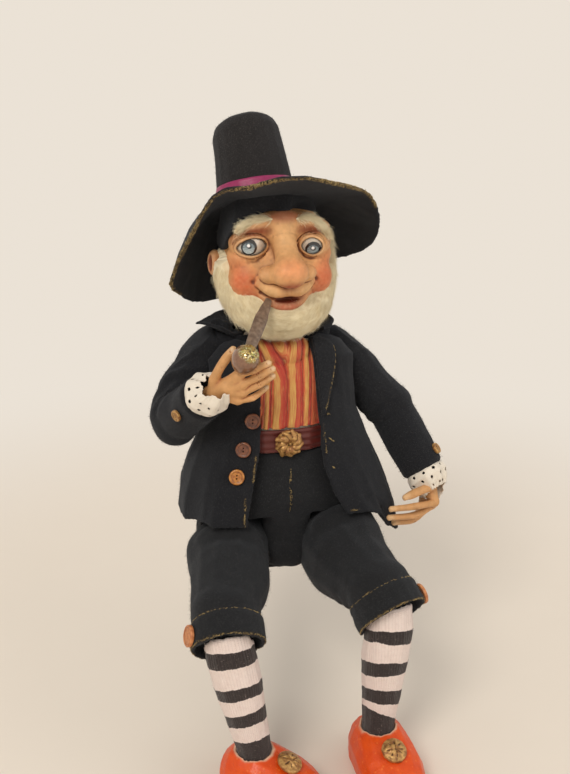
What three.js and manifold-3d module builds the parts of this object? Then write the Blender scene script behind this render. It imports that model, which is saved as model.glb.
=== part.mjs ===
// Seated art doll: paper clay head, hands and shoes on a padded, wired body in felt clothes.
// Millimetres, +Z up. The doll faces -Y and its own left side is towards +X.
// The origin lies on the flat underside of the breeches, between the hips.

import * as THREE from 'three';
import { mergeVertices } from 'three/addons/utils/BufferGeometryUtils.js';
import Module from 'manifold-3d';

const wasm = await Module();
wasm.setup();

const at = (x, y, z) => new THREE.Vector3(x, y, z);
const degrees = (value) => value * Math.PI / 180;
const mix = (a, b, t) => a + (b - a) * t;
const X = at(1, 0, 0);
const Y = at(0, 1, 0);
const Z = at(0, 0, 1);

// Gaps: between pieces that rest on each other, round a ball that turns in its seat,
// and round a limb that swings past cloth
const seatGap = 0.3;
const jointGap = 0.7;
const swingGap = 1.6;

// Skeleton: the places that the armature wire runs through
const hipSpread = 27;
const hipForward = 8;
const hipHeight = 24;
const thighReach = 75;
const seatToSole = 82;
const ankleHeight = 30;
const shoulderHeight = 135;
const upperArmLength = 44;
const forearmLength = 48;
const neckBack = 12;
const neckRise = 13;
const neckHeight = shoulderHeight + neckRise;

// Padded limbs: radii of the balls that turn and of the swells between them
const hipBall = 20;
const thighSwell = 22.5;
const kneeBall = 18.5;
const calfRadius = 13.6;
const ankleRadius = 9.4;
const shoulderBall = 15.5;
const upperSleeveRadius = 13.6;
const elbowBall = 14;
const lowerSleeveRadius = 13;
const wireRadius = 1.5;
const wireInset = 1;
const forearmWireInset = 4.5;
const spineRadius = 3;

// Cloth
const feltThickness = 2.2;
const shirtThickness = 1.2;
const pleatDepth = 0.8;
const pleatCount = 7;
const cuffBandLength = 17.5;
const cuffFlare = 1.7;
const beltHeight = 15;
const beltThickness = 1.6;
const beltSlack = 0.5;
const lapelThickness = 1.8;
const waistHeight = 84;

// Heights as a share of the way up to the waist, from there to the shoulders, and from there to the neck
const hipsAt = (share) => share * waistHeight;
const chestAt = (share) => mix(waistHeight, shoulderHeight, share);
const neckAt = (share) => mix(shoulderHeight, neckHeight, share);

// A point of the head, with its height above the neck
const headAt = (x, y, z) => at(x, y, neckHeight + z);

// Buttons and metal-coloured clay
const jacketButtonRadius = 4.6;
const cuffButtonRadius = 4;
const kneeButtonRadius = 6;
const buttonThickness = 2.2;
const buckleRadius = 8.2;
const buckleThickness = 3.4;
const ornamentRadius = 6.6;
const ornamentThickness = 3.2;

// Hat
const crownHeight = 50;
const crownRadius = 22.5;
const crownTopRadius = 19;
const brimThickness = 2.2;
const bandHeight = 8;
const bandThickness = 0.9;

// Head
const eyeRadius = 10.3;
const lidThickness = 1.5;
const stemWidth = 7.4;
const stemThickness = 3;
const bowlRadius = 7.3;

// What differs between the doll's right and left: sign is the side of X that it lies on
const sides = [
  {
    name: 'right',
    sign: -1,
    thighSplay: 21.5,
    thighDrop: 7,
    shinLean: 10.5,
    shinForward: 20,
    buttonTurn: degrees(25),
    cuffAim: at(-0.05, -0.79, -0.61),
    toeTurn: degrees(52),
    shoulder: at(-39, 13, shoulderHeight),
    upperArmAim: at(-22, -15, -38),
    forearmAim: at(11.9, -36.8, 28),
  },
  {
    name: 'left',
    sign: 1,
    thighSplay: 11,
    thighDrop: 3,
    shinLean: -3,
    shinForward: 16,
    buttonTurn: 0,
    cuffAim: at(0.26, -0.74, -0.62),
    toeTurn: degrees(4),
    shoulder: at(44, 14, shoulderHeight - 5),
    upperArmAim: at(27, -11, -35),
    forearmAim: at(18.8, -25.4, -39.2),
  },
];

for (const side of sides) {
  side.hip = at(side.sign * hipSpread, -hipForward, hipHeight);
  side.knee = at(side.hip.x + side.sign * side.thighSplay, side.hip.y - thighReach, side.hip.z - side.thighDrop);
  side.ankle = at(side.knee.x + side.shinLean, side.knee.y - side.shinForward, ankleHeight - seatToSole);
  side.cuffAim.normalize();
  side.upperArmAim.normalize();
  side.forearmAim.normalize();
  side.elbow = side.shoulder.clone().addScaledVector(side.upperArmAim, upperArmLength);
  side.wrist = side.elbow.clone().addScaledVector(side.forearmAim, forearmLength);
}

const [right, left] = sides;

// Hinge axes and the angles that the neighbours of a joint are cut for
const shoulderAxis = { right: at(0, 0, -1), left: X };
const shoulderSwing = { right: [0, 20], left: [-30, 0] };
const elbowAxis = {
  right: new THREE.Vector3().crossVectors(right.forearmAim, right.upperArmAim).normalize(),
  left: X.clone(),
};
const tightestElbow = { right: 0, left: -45 };
const lowestHip = 60;
const tightestKnee = 15;

// Closed meshes

function signedVolume(geometry) {
  const position = geometry.attributes.position;
  const index = geometry.index;
  const [a, b, c] = [at(0, 0, 0), at(0, 0, 0), at(0, 0, 0)];
  let volume = 0;
  for (let i = 0; i < index.count; i += 3) {
    a.fromBufferAttribute(position, index.getX(i));
    b.fromBufferAttribute(position, index.getX(i + 1));
    c.fromBufferAttribute(position, index.getX(i + 2));
    volume += a.dot(b.cross(c)) / 6;
  }
  return volume;
}

// Merged vertices and faces that point out
function closed(geometry) {
  const bare = geometry.clone();
  bare.deleteAttribute('normal');
  bare.deleteAttribute('uv');
  const merged = mergeVertices(bare, 1e-4);
  if (signedVolume(merged) < 0) {
    const order = merged.index.array;
    for (let i = 0; i < order.length; i += 3) {
      [order[i], order[i + 1]] = [order[i + 1], order[i]];
    }
  }
  return merged;
}

function toSolid(geometry) {
  const shell = closed(geometry);
  const vertProperties = Float32Array.from(shell.attributes.position.array);
  const triVerts = Uint32Array.from(shell.index.array);
  return new wasm.Manifold(new wasm.Mesh({ numProp: 3, vertProperties, triVerts }));
}

function toGeometry(solid) {
  const mesh = solid.getMesh();
  const geometry = new THREE.BufferGeometry();
  geometry.setAttribute('position', new THREE.BufferAttribute(Float32Array.from(mesh.vertProperties), 3));
  geometry.setIndex(new THREE.BufferAttribute(Uint32Array.from(mesh.triVerts), 1));
  return geometry;
}

const join = (...geometries) => toGeometry(geometries.map(toSolid).reduce((a, b) => a.add(b)));

function cut(geometry, ...tools) {
  return toGeometry(tools.map(toSolid).reduce((a, b) => a.subtract(b), toSolid(geometry)));
}

// Skin over loops of points: open ends are capped by strips across the loop
function loftLoops(loops, ring = false) {
  const count = loops[0].length;
  const positions = loops.flat().flatMap((p) => [p.x, p.y, p.z]);
  const index = [];
  const spans = ring ? loops.length : loops.length - 1;
  for (let i = 0; i < spans; i++) {
    const a = i * count;
    const b = ((i + 1) % loops.length) * count;
    for (let j = 0; j < count; j++) {
      const k = (j + 1) % count;
      index.push(a + j, b + j, b + k, a + j, b + k, a + k);
    }
  }
  const cap = (start, flip) => {
    for (let i = 0; i < count / 2 - 1; i++) {
      const far = count - 1 - i;
      const faces = [[i, i + 1, far - 1], [i, far - 1, far]];
      for (const [p, q, r] of faces) {
        index.push(start + p, start + (flip ? r : q), start + (flip ? q : r));
      }
    }
  };
  if (!ring) {
    cap(0, false);
    cap((loops.length - 1) * count, true);
  }
  const geometry = new THREE.BufferGeometry();
  geometry.setAttribute('position', new THREE.Float32BufferAttribute(positions, 3));
  geometry.setIndex(index);
  return geometry;
}

function ball(centre, radius, round = 20) {
  const size = radius.isVector3 ? radius : at(radius, radius, radius);
  const geometry = new THREE.SphereGeometry(1, round, Math.round(round * 0.6));
  return geometry.rotateX(Math.PI / 2).scale(size.x, size.y, size.z).translate(centre.x, centre.y, centre.z);
}

function box(low, high) {
  const size = high.clone().sub(low);
  const middle = low.clone().add(high).multiplyScalar(0.5);
  return new THREE.BoxGeometry(size.x, size.y, size.z).translate(middle.x, middle.y, middle.z);
}

// Padded limb along a route: radii has as many entries as the route, and grow widens it and its ends
function limb(route, radii, options = {}) {
  const { steps = 8, round = 14, domes = 3, startBall = false, endBall = false, grow = 0 } = options;
  const curve = route.length > 2
    ? new THREE.CatmullRomCurve3(route, false, 'centripetal')
    : new THREE.LineCurve3(route[0], route[1]);
  const frames = curve.computeFrenetFrames(steps);
  const loops = [];
  const addLoop = (centre, normal, binormal, radius) => {
    const loop = [];
    for (let j = 0; j < round; j++) {
      const turn = 2 * Math.PI * (j + 0.5) / round;
      loop.push(centre.clone()
        .addScaledVector(normal, radius * Math.cos(turn))
        .addScaledVector(binormal, radius * Math.sin(turn)));
    }
    loops.push(loop);
  };
  const domeTurns = Array.from({ length: domes }, (_, i) => degrees(75 * (domes - i) / domes));
  const radiusAt = (t) => {
    const place = t * (radii.length - 1);
    const first = Math.min(Math.floor(place), radii.length - 2);
    return mix(radii[first], radii[first + 1], place - first) + grow;
  };
  const addDome = (i, sign) => {
    const centre = curve.getPoint(i / steps);
    const radius = radiusAt(i / steps);
    const order = sign < 0 ? domeTurns : [...domeTurns].reverse();
    for (const turn of order) {
      const tip = centre.clone().addScaledVector(frames.tangents[i], sign * radius * Math.sin(turn));
      addLoop(tip, frames.normals[i], frames.binormals[i], radius * Math.cos(turn));
    }
  };
  if (startBall) addDome(0, -1);
  for (let i = 0; i <= steps; i++) {
    const end = i === 0 && !startBall ? -grow : (i === steps && !endBall ? grow : 0);
    const centre = curve.getPoint(i / steps).addScaledVector(frames.tangents[i], end);
    addLoop(centre, frames.normals[i], frames.binormals[i], radiusAt(i / steps));
  }
  if (endBall) addDome(steps, 1);
  return loftLoops(loops);
}

// Turned piece: a closed outline of [radius, height] round the line from a base along an aim
function turned(outline, base, aim, round = 24) {
  const points = outline.map(([radius, height]) => new THREE.Vector2(radius, height));
  return standing(new THREE.LatheGeometry(points, round), base, aim);
}

// A shape made round Y, stood on its base along its aim
function standing(geometry, base, aim) {
  geometry.applyQuaternion(new THREE.Quaternion().setFromUnitVectors(Y, aim));
  return geometry.translate(base.x, base.y, base.z);
}

function rotatedAbout(geometry, pivot, axis, angle) {
  const copy = geometry.clone().translate(-pivot.x, -pivot.y, -pivot.z);
  copy.applyQuaternion(new THREE.Quaternion().setFromAxisAngle(axis, degrees(angle)));
  return copy.translate(pivot.x, pivot.y, pivot.z);
}

// Cloth: point(u, v) is its outer face, lifted along the face's own normal by lift
function clothPoint(point, u, v, lift) {
  const step = 1e-3;
  const here = point(u, v);
  const du = point(u + step, v).sub(point(u - step, v));
  const dv = point(u, v + step).sub(point(u, v - step));
  return here.addScaledVector(du.cross(dv).normalize(), lift);
}

function cloth(point, across, down, outer, inner, ring = false) {
  const loops = [];
  const count = ring ? across : across + 1;
  for (let i = 0; i < count; i++) {
    const loop = [];
    for (let j = 0; j <= down; j++) loop.push(clothPoint(point, i / across, j / down, outer));
    for (let j = down; j >= 0; j--) loop.push(clothPoint(point, i / across, j / down, inner));
    loops.push(loop);
  }
  return loftLoops(loops, ring);
}

// Rows of named sizes, smoothed between: place 0 is the first row and 1 the last
function rowAt(rows, place) {
  const spot = THREE.MathUtils.clamp(place, 0, 1) * (rows.length - 1);
  const i = Math.min(Math.floor(spot), rows.length - 2);
  const t = spot - i;
  const [a, b] = [rows[Math.max(i - 1, 0)], rows[i]];
  const [c, d] = [rows[i + 1], rows[Math.min(i + 2, rows.length - 1)]];
  const row = {};
  for (const key of Object.keys(b)) {
    const slopeB = (c[key] - a[key]) / 2;
    const slopeC = (d[key] - b[key]) / 2;
    row[key] = b[key] * (1 + 2 * t) * (1 - t) ** 2 + c[key] * t * t * (3 - 2 * t)
      + slopeB * t * (1 - t) ** 2 - slopeC * t * t * (1 - t);
  }
  return row;
}

// Place at which one of the rows' sizes, which only rises or only falls, has a value
function placeOf(rows, key, value) {
  let [low, high] = [0, 1];
  const falls = rows[0][key] > rows[rows.length - 1][key];
  for (let i = 0; i < 24; i++) {
    const middle = (low + high) / 2;
    const above = rowAt(rows, middle)[key] > value;
    [low, high] = above === falls ? [middle, high] : [low, middle];
  }
  return low;
}

const placeOfHeight = (rows, height) => placeOf(rows, 'z', height);

// Body section: turn 0 looks to the front and grows towards the doll's left
function sectionPoint(row, turn, grow = 0) {
  const s = Math.sin(turn);
  const c = Math.cos(turn);
  const half = (s < 0 ? row.right : row.left) + grow;
  const deep = (c > 0 ? row.front : row.back) + grow;
  const across = Math.sign(s) * Math.abs(s) ** row.square * half;
  return at(across, -Math.sign(c) * Math.abs(c) ** row.square * deep, row.z);
}

function sectionLoop(row, round, grow = 0) {
  return Array.from({ length: round }, (_, j) => sectionPoint(row, 2 * Math.PI * (j + 0.5) / round, grow));
}

// Body

const stuffingRows = [
  { z: waistHeight + seatGap, right: 36, left: 36, front: 27, back: 24, square: 0.9 },
  { z: chestAt(0.314), right: 35, left: 36, front: 27, back: 24, square: 0.9 },
  { z: chestAt(0.608), right: 35, left: 37, front: 24, back: 25, square: 0.9 },
  { z: chestAt(0.882), right: 37, left: 39, front: 18.5, back: 26, square: 0.85 },
  { z: neckAt(0.231), right: 32, left: 34, front: 13, back: 26, square: 0.9 },
  { z: neckHeight - seatGap, right: 13, left: 13, front: 3, back: 24, square: 1 },
];

const breechesRows = [
  { z: hipsAt(0), right: 42, left: 42, front: 22, back: 36, square: 0.75 },
  { z: hipsAt(0.06), right: 47, left: 47, front: 26, back: 41, square: 0.75 },
  { z: hipsAt(0.286), right: 49, left: 49, front: 30, back: 43, square: 0.8 },
  { z: hipsAt(0.536), right: 46, left: 47, front: 36, back: 38, square: 0.85 },
  { z: hipsAt(0.762), right: 42, left: 43, front: 35, back: 31, square: 0.9 },
  { z: waistHeight, right: 38, left: 39, front: 29, back: 27, square: 0.9 },
];

const jacketRows = [
  { z: neckAt(0.923), right: 24, left: 24, front: 13, back: 28, square: 0.95 },
  { z: neckAt(0.577), right: 35, left: 38, front: 16.5, back: 30, square: 0.9 },
  { z: chestAt(1), right: 43, left: 46, front: 22, back: 32, square: 0.85 },
  { z: chestAt(0.725), right: 41, left: 46, front: 28.5, back: 32, square: 0.85 },
  { z: chestAt(0.431), right: 41.5, left: 47, front: 33.5, back: 31.5, square: 0.85 },
  { z: chestAt(0.137), right: 45.5, left: 52, front: 36, back: 34, square: 0.8 },
  { z: hipsAt(0.929), right: 51, left: 57, front: 39, back: 38, square: 0.75 },
  { z: hipsAt(0.75), right: 56.5, left: 63, front: 44, back: 43, square: 0.7 },
  { z: hipsAt(0.571), right: 58.5, left: 68, front: 50, back: 49, square: 0.65 },
  { z: hipsAt(0.393), right: 59.5, left: 71.5, front: 53, back: 53, square: 0.7 },
  { z: hipsAt(0.15), right: 60.5, left: 74, front: 54, back: 55, square: 0.7 },
];

const spineBase = at(0, neckBack, 12);
const spineTop = at(0, neckBack, neckHeight + 28);

function thigh(side) {
  const middle = (t) => side.hip.clone().lerp(side.knee, t);
  const route = [side.hip, middle(0.28), middle(0.55), middle(0.8), side.knee];
  const aboveKnee = mix(kneeBall, thighSwell, 0.35);
  const radii = [hipBall, mix(hipBall, thighSwell, 0.7), thighSwell, aboveKnee, kneeBall];
  return limb(route, radii, { steps: 6, round: 12, startBall: true, endBall: true });
}

function upperSleeve(side) {
  const middle = (t) => side.shoulder.clone().lerp(side.elbow, t);
  const route = [side.shoulder, middle(0.33), middle(0.7), side.elbow];
  const radii = [shoulderBall, mix(shoulderBall, upperSleeveRadius, 0.8), upperSleeveRadius, elbowBall];
  return limb(route, radii, { steps: 4, round: 12, startBall: true, endBall: true });
}

// Room for a limb between its two balls, turned about one of them
function limbRoom(from, to, radii, pivot, axis, angle) {
  const route = [from, from.clone().lerp(to, 0.5), to];
  const settings = { steps: 3, round: 12, domes: 2, startBall: true, endBall: true, grow: swingGap };
  return rotatedAbout(limb(route, radii, settings), pivot, axis, angle);
}

const thighRoom = (side, pivot, angle) => limbRoom(
  side.hip, side.knee, [hipBall, thighSwell, kneeBall], pivot, X, angle);

const upperArmRoom = (side, pivot, axis, angle) => limbRoom(
  side.shoulder, side.elbow, [shoulderBall, upperSleeveRadius + 0.5, elbowBall], pivot, axis, angle);

const armhole = (side) => shoulderSwing[side.name]
  .map((angle) => upperArmRoom(side, side.shoulder, shoulderAxis[side.name], angle));

// Bore for an armature wire, open at both ends of the padding
function wireBore(from, to, radius) {
  return limb([from, to], [radius, radius], { steps: 1, round: 12, grow: seatGap });
}

function wireBetween(from, to, radius) {
  return limb([from, to], [radius, radius], { steps: 1, round: 10 });
}

function bodyStuffing() {
  const loops = [];
  for (let i = 0; i <= 12; i++) loops.push(sectionLoop(rowAt(stuffingRows, i / 12), 16));
  const bore = wireBore(spineBase, spineTop, spineRadius);
  return cut(loftLoops(loops), ...sides.flatMap(armhole), bore);
}

function breechesSeat() {
  const loops = [];
  for (let i = 0; i <= 7; i++) loops.push(sectionLoop(rowAt(breechesRows, i / 7), 20));
  const lapTop = hipHeight + hipBall + jointGap;
  const lap = box(at(-80, -80, -5), at(80, -hipForward, lapTop));
  const balls = sides.map((side) => ball(side.hip, hipBall + swingGap, 12));
  const lowered = sides.map((side) => thighRoom(side, side.hip, lowestHip));
  const bore = wireBore(spineBase, spineTop, spineRadius);
  return cut(loftLoops(loops), lap, ...balls, ...lowered, bore);
}

function shirtFront() {
  const [top, bottom] = [neckHeight - 4, waistHeight + beltHeight + seatGap];
  const reach = degrees(46);
  const point = (u, v) => {
    const row = rowAt(stuffingRows, placeOfHeight(stuffingRows, mix(top, bottom, v)));
    const pleat = pleatDepth * (0.5 + 0.5 * Math.cos(2 * Math.PI * pleatCount * u));
    return sectionPoint(row, mix(-reach, reach, u), pleat);
  };
  return cloth(point, 4 * pleatCount, 7, -2 * seatGap - shirtThickness, -2 * seatGap);
}

function belt() {
  const point = (u, v) => {
    const row = rowAt(stuffingRows, placeOfHeight(stuffingRows, waistHeight + 1 + v * (beltHeight - 1)));
    return sectionPoint(row, 2 * Math.PI * u, seatGap + beltThickness + beltSlack);
  };
  return cloth(point, 20, 1, 0, -beltThickness, true);
}

// Where a small piece sits: its own +Z turned to aim, its own origin on the spot
const seated = (geometry, spot, aim) => {
  const turn = new THREE.Quaternion().setFromUnitVectors(Z, aim);
  return { geometry, spot, turn };
};

// Round modelled clay piece with a lobed edge and a knot of petals raised on its face
function lobedDisc(radius, thickness, lobes) {
  const rings = [[0.55, 0], [1, 0.15], [1, 0.55], [0.6, 0.9], [0.15, 0.95]];
  const round = lobes * 4;
  const loops = rings.map(([reach, height]) => Array.from({ length: round }, (_, j) => {
    const angle = 2 * Math.PI * (j + 0.5) / round;
    const lobe = 1 + 0.07 * reach * Math.cos(lobes * angle);
    const petal = height > 0.5 ? 0.12 * Math.cos(lobes * angle) : 0;
    const spot = at(Math.cos(angle), Math.sin(angle), 0).multiplyScalar(radius * reach * lobe);
    return spot.setZ(thickness * (height + petal));
  }));
  return loftLoops(loops);
}

// Round button with a raised rim round a hollow face
function button(radius) {
  const t = buttonThickness;
  const outline = [[0, 0], [0.85, 0], [1, 0.4], [0.94, 0.95], [0.72, 1], [0.6, 0.7], [0, 0.65]];
  const points = outline.map(([r, h]) => new THREE.Vector2(r * radius, h * t));
  return new THREE.LatheGeometry(points, 12).rotateX(Math.PI / 2);
}

// Jacket: one skin for its three panels, the lapels and the buttons

const sideSeam = degrees(92);

// Where the front edges run, as distance from the middle at each height, to the right and the left
const openingRows = [
  { z: neckAt(0.923), right: 13, left: 17 },
  { z: chestAt(0.667), right: 15.5, left: 17 },
  { z: chestAt(0.157), right: 17.5, left: 18.5 },
  { z: hipsAt(0.833), right: 23, left: 22 },
  { z: hipsAt(0.571), right: 29, left: 33 },
];

// Height of the hem by turn round the body
const hemRows = [
  { turn: -180, z: hipsAt(0.357) },
  { turn: -130, z: hipsAt(0.43) },
  { turn: -92, z: hipsAt(0.5) },
  { turn: -55, z: hipsAt(0.58) },
  { turn: 0, z: hipsAt(0.583) },
  { turn: 34, z: hipsAt(0.6) },
  { turn: 62, z: hipsAt(0.36) },
  { turn: 92, z: hipsAt(0.2) },
  { turn: 130, z: hipsAt(0.24) },
  { turn: 180, z: hipsAt(0.357) },
];

function hemHeight(turn) {
  const angle = THREE.MathUtils.euclideanModulo(turn * 180 / Math.PI + 180, 360) - 180;
  let i = 0;
  while (i < hemRows.length - 2 && hemRows[i + 1].turn < angle) i++;
  const [a, b] = [hemRows[i], hemRows[i + 1]];
  const t = THREE.MathUtils.smoothstep(angle, a.turn, b.turn);
  return mix(a.z, b.z, t);
}

const foldCount = 9;
const foldDepth = 1.6;

// fall 0 is the neck and 1 the hem
function jacketPoint(turn, fall) {
  const lowest = placeOfHeight(jacketRows, hemHeight(turn));
  const row = rowAt(jacketRows, THREE.MathUtils.clamp(fall, 0, 1.01) * lowest);
  const fold = foldDepth * Math.max(0, fall - 0.55) / 0.45 * Math.cos(foldCount * turn + 0.8);
  return sectionPoint(row, turn, fold);
}

function frontEdgeTurn(side, fall) {
  let turn = 0;
  for (let i = 0; i < 4; i++) {
    const height = jacketPoint(turn, fall).z;
    const place = placeOfHeight(jacketRows, height);
    const edge = rowAt(openingRows, placeOfHeight(openingRows, height))[side.name];
    const row = rowAt(jacketRows, place);
    turn = side.sign * Math.asin(Math.min(1, (edge / row[side.name]) ** (1 / row.square)));
  }
  return turn;
}

function jacketFront(side) {
  const edges = Array.from({ length: 61 }, (_, i) => frontEdgeTurn(side, i / 60));
  const edgeAt = (fall) => edges[Math.round(THREE.MathUtils.clamp(fall, 0, 1) * 60)];
  const seam = side.sign * (sideSeam - degrees(0.4));
  const point = (u, v) => jacketPoint(mix(edgeAt(v), seam, u), v);
  return cloth(point, 6, 9, 0, side.sign * feltThickness);
}

function jacketBack() {
  const point = (u, v) => jacketPoint(mix(sideSeam, 2 * Math.PI - sideSeam, u), v);
  return cloth(point, 15, 8, 0, feltThickness);
}

// What the jacket gives way to: arms, thighs, and the forearms and hands that rest near it
function jacketClearance() {
  return sides.flatMap((side) => [
    ...armhole(side),
    thighRoom(side, side.hip, 0),
    lowerSleeveShape(side, swingGap),
    handShape(side, swingGap),
  ]);
}

// Lapel: turned-back cloth that lies on the front from the neck to a point beside the buttons
function lapel(side, length, width) {
  const point = (u, v) => {
    const fall = mix(0.04, length, v);
    const edge = frontEdgeTurn(side, fall) + side.sign * degrees(1.5);
    const spread = width * Math.max(1 - v, 0.02) ** 0.6 * Math.min(1, 0.55 + 2.5 * v);
    return jacketPoint(edge + side.sign * degrees(spread) * u, fall);
  };
  const lift = -side.sign * (seatGap + lapelThickness);
  return cloth(point, 4, 9, lift, -side.sign * seatGap);
}

// Collar: wings that stand off the neck and spread over the shoulders, open at the front
const collarInner = 23;
const collarRise = 5.5;
const collarReach = { side: 23, back: 16 };

function collar() {
  const [from, to] = [degrees(52), degrees(308)];
  const point = (u, v) => {
    const turn = mix(from, to, u);
    const towardsSide = Math.abs(Math.sin(turn));
    const reach = collarInner + v * mix(collarReach.back, collarReach.side, towardsSide ** 3);
    const rise = neckHeight - 1 + seatGap + feltThickness + collarRise * v * v * (0.45 + 0.55 * towardsSide);
    return at(reach * Math.sin(turn), neckBack - reach * Math.cos(turn) * 0.8, rise);
  };
  return cut(cloth(point, 16, 3, 0, feltThickness), ...sides.flatMap(armhole));
}

function jacketButtons() {
  const heights = [chestAt(0.441), chestAt(0.127), hipsAt(0.899)];
  const across = [-20.5, -26.5, -31.5];
  return heights.map((height, i) => {
    const row = rowAt(jacketRows, placeOfHeight(jacketRows, height));
    const turn = -Math.asin((Math.abs(across[i]) / row.right) ** (1 / row.square));
    const fall = placeOfHeight(jacketRows, height) / placeOfHeight(jacketRows, hemHeight(turn));
    const skin = (u, v) => jacketPoint(u, v);
    const here = clothPoint(skin, turn, fall, 0);
    const aim = clothPoint(skin, turn, fall, 1).sub(here);
    if (aim.y > 0) aim.negate();
    return seated(button(jacketButtonRadius), here.addScaledVector(aim, seatGap), aim);
  });
}

// Head

const skull = {
  cranium: { centre: headAt(0, 11, 52), size: at(29.5, 28, 28), round: 14 },
  face: { centre: headAt(0, 2, 32), size: at(27, 27, 30), round: 14 },
  left_cheek: { centre: headAt(17, -12, 38), size: at(12, 11, 12), round: 10 },
  right_cheek: { centre: headAt(-17, -12, 38), size: at(12, 11, 12), round: 10 },
  forehead: { centre: headAt(0, -12, 64), size: at(23, 9, 8), round: 10 },
  chin: { centre: headAt(0, -12, 14), size: at(15, 14, 12), round: 10 },
  upper_lip: { centre: headAt(0, -22, 32), size: at(15, 8, 6), round: 8 },
  lower_lip: { centre: headAt(0, -20, 23.5), size: at(10, 6, 3.5), round: 8 },
  nose: { centre: headAt(0, -33, 42), size: at(11, 10, 9.5), round: 10 },
  left_nostril: { centre: headAt(9, -27, 39), size: at(6, 6, 5.5), round: 8 },
  right_nostril: { centre: headAt(-9, -27, 39), size: at(6, 6, 5.5), round: 8 },
  left_ear: { centre: headAt(30.5, 14, 42), size: at(5, 8, 10), round: 8 },
  right_ear: { centre: headAt(-30.5, 14, 42), size: at(5, 8, 10), round: 8 },
};
const noseRoute = [headAt(0, -17, 60), headAt(0, -25, 52), headAt(0, -32, 44)];
const noseRadii = [6, 6.5, 8];
const neckRadius = 12;
const neckRoute = [at(0, neckBack, neckHeight), headAt(0, neckBack, 27)];
const eyePlace = (side) => headAt(side.sign * 17.5, -10, 55);

const lumps = (names, grow = 0) => names.map((name) => {
  const { centre, size, round } = skull[name];
  return ball(centre, size.clone().addScalar(grow), round);
});

const lid = (side, grow = 0) => ball(eyePlace(side), eyeRadius + lidThickness + grow, 12);
const neck = (grow = 0) => limb(neckRoute, [neckRadius, neckRadius], { steps: 1, round: 14, grow });

const eyeOpening = at(8.6, 8, 5.4);

function head() {
  const nose = limb(noseRoute, noseRadii, { steps: 2, round: 8 });
  const whole = join(...lumps(Object.keys(skull)), ...sides.map((side) => lid(side)), nose, neck());
  const sockets = sides.map((side) => ball(eyePlace(side), eyeRadius + seatGap, 12));
  const openings = sides.map((side) => ball(eyePlace(side).add(at(0, -eyeRadius, 0)), eyeOpening, 10));
  const mouth = ball(headAt(0, -28, 26.6), at(10, 5, 1.3), 8);
  const bore = wireBore(spineBase, spineTop, spineRadius);
  const hatSeat = new THREE.BoxGeometry(120, 60, 120).translate(0, 30 - brimThickness - seatGap, 0);
  return cut(whole, ...sockets, ...openings, mouth, bore, standing(hatSeat, hatBase, crownAim));
}

// Hat: the brim's outer edge by turn round the crown, its reach from the crown's axis and its height
const hatBase = headAt(-7.5, 12, 72);
const crownAim = at(-3.5, 19, 48).normalize();
const brimEdge = [
  { turn: 0, reach: 58, z: 94 },
  { turn: 27, reach: 58, z: 92 },
  { turn: 50, reach: 59.5, z: 86.5 },
  { turn: 64, reach: 64.5, z: 80.5 },
  { turn: 76, reach: 69.5, z: 65.5 },
  { turn: 88, reach: 71.5, z: 52.5 },
  { turn: 102, reach: 70, z: 40 },
  { turn: 122, reach: 64, z: 31.5 },
  { turn: 152, reach: 58, z: 22 },
  { turn: 190, reach: 56, z: 6 },
  { turn: 220, reach: 52, z: 8 },
  { turn: 248, reach: 48, z: 19 },
  { turn: 270, reach: 52, z: 29 },
  { turn: 291, reach: 46, z: 58 },
  { turn: 319, reach: 49, z: 81 },
  { turn: 339, reach: 54, z: 89.5 },
];

const brimCurve = new THREE.CatmullRomCurve3(brimEdge.map(({ turn, reach, z }) => at(
  hatBase.x + reach * Math.sin(degrees(turn)),
  hatBase.y - reach * Math.cos(degrees(turn)),
  neckHeight + z,
)), true);

// The hat's seat is a plane that tilts back with the crown; the brim leaves it past the flat ring and droops
const brimHole = crownRadius - feltThickness + seatGap;
const flatRing = 0.33;
const droopPower = 1.6;
const hatPlane = (x, y) => {
  const along = (x - hatBase.x) * crownAim.x + (y - hatBase.y) * crownAim.y;
  return hatBase.z - along / crownAim.z;
};

// round goes once along the edge; spread 0 is the hole and 1 the edge
function brimPoint(round, spread) {
  const edge = brimCurve.getPoint(round);
  const out = edge.clone().sub(hatBase).setZ(0);
  const reach = out.length();
  out.normalize();
  const spot = hatBase.clone().addScaledVector(out, mix(brimHole, reach, spread));
  const drop = hatPlane(edge.x, edge.y) - edge.z;
  const fall = Math.max(0, (spread - flatRing) / (1 - flatRing)) ** droopPower;
  return spot.setZ(hatPlane(spot.x, spot.y) - drop * fall);
}

const hatBrim = () => cloth(brimPoint, 32, 5, 0, brimThickness, true);

function hatCrown() {
  const [r, top, h, wall] = [crownRadius, crownTopRadius, crownHeight, feltThickness];
  const waist = mix(top, r, 0.4);
  const outline = [
    [0, h], [top * 0.6, h - 0.8], [top * 0.9, h - 3], [top, h - 7], [waist, h * 0.45], [r, 0],
    [r - wall, 0], [waist - wall, h * 0.45], [top - wall, h - 7], [top * 0.7, h - 4], [0, h - wall],
  ];
  return turned(outline, hatBase.clone().addScaledVector(crownAim, 2 * seatGap), crownAim, 20);
}

function hatBand() {
  const inner = crownRadius + seatGap;
  const slope = (crownRadius - mix(crownTopRadius, crownRadius, 0.4)) / (crownHeight * 0.45) * bandHeight;
  const [low, high] = [2, 2 + bandHeight];
  const outline = [
    [inner, low], [inner + bandThickness, low], [inner + bandThickness - slope, high], [inner - slope, high],
    [inner, low],
  ];
  return turned(outline, hatBase, crownAim, 20);
}

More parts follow.
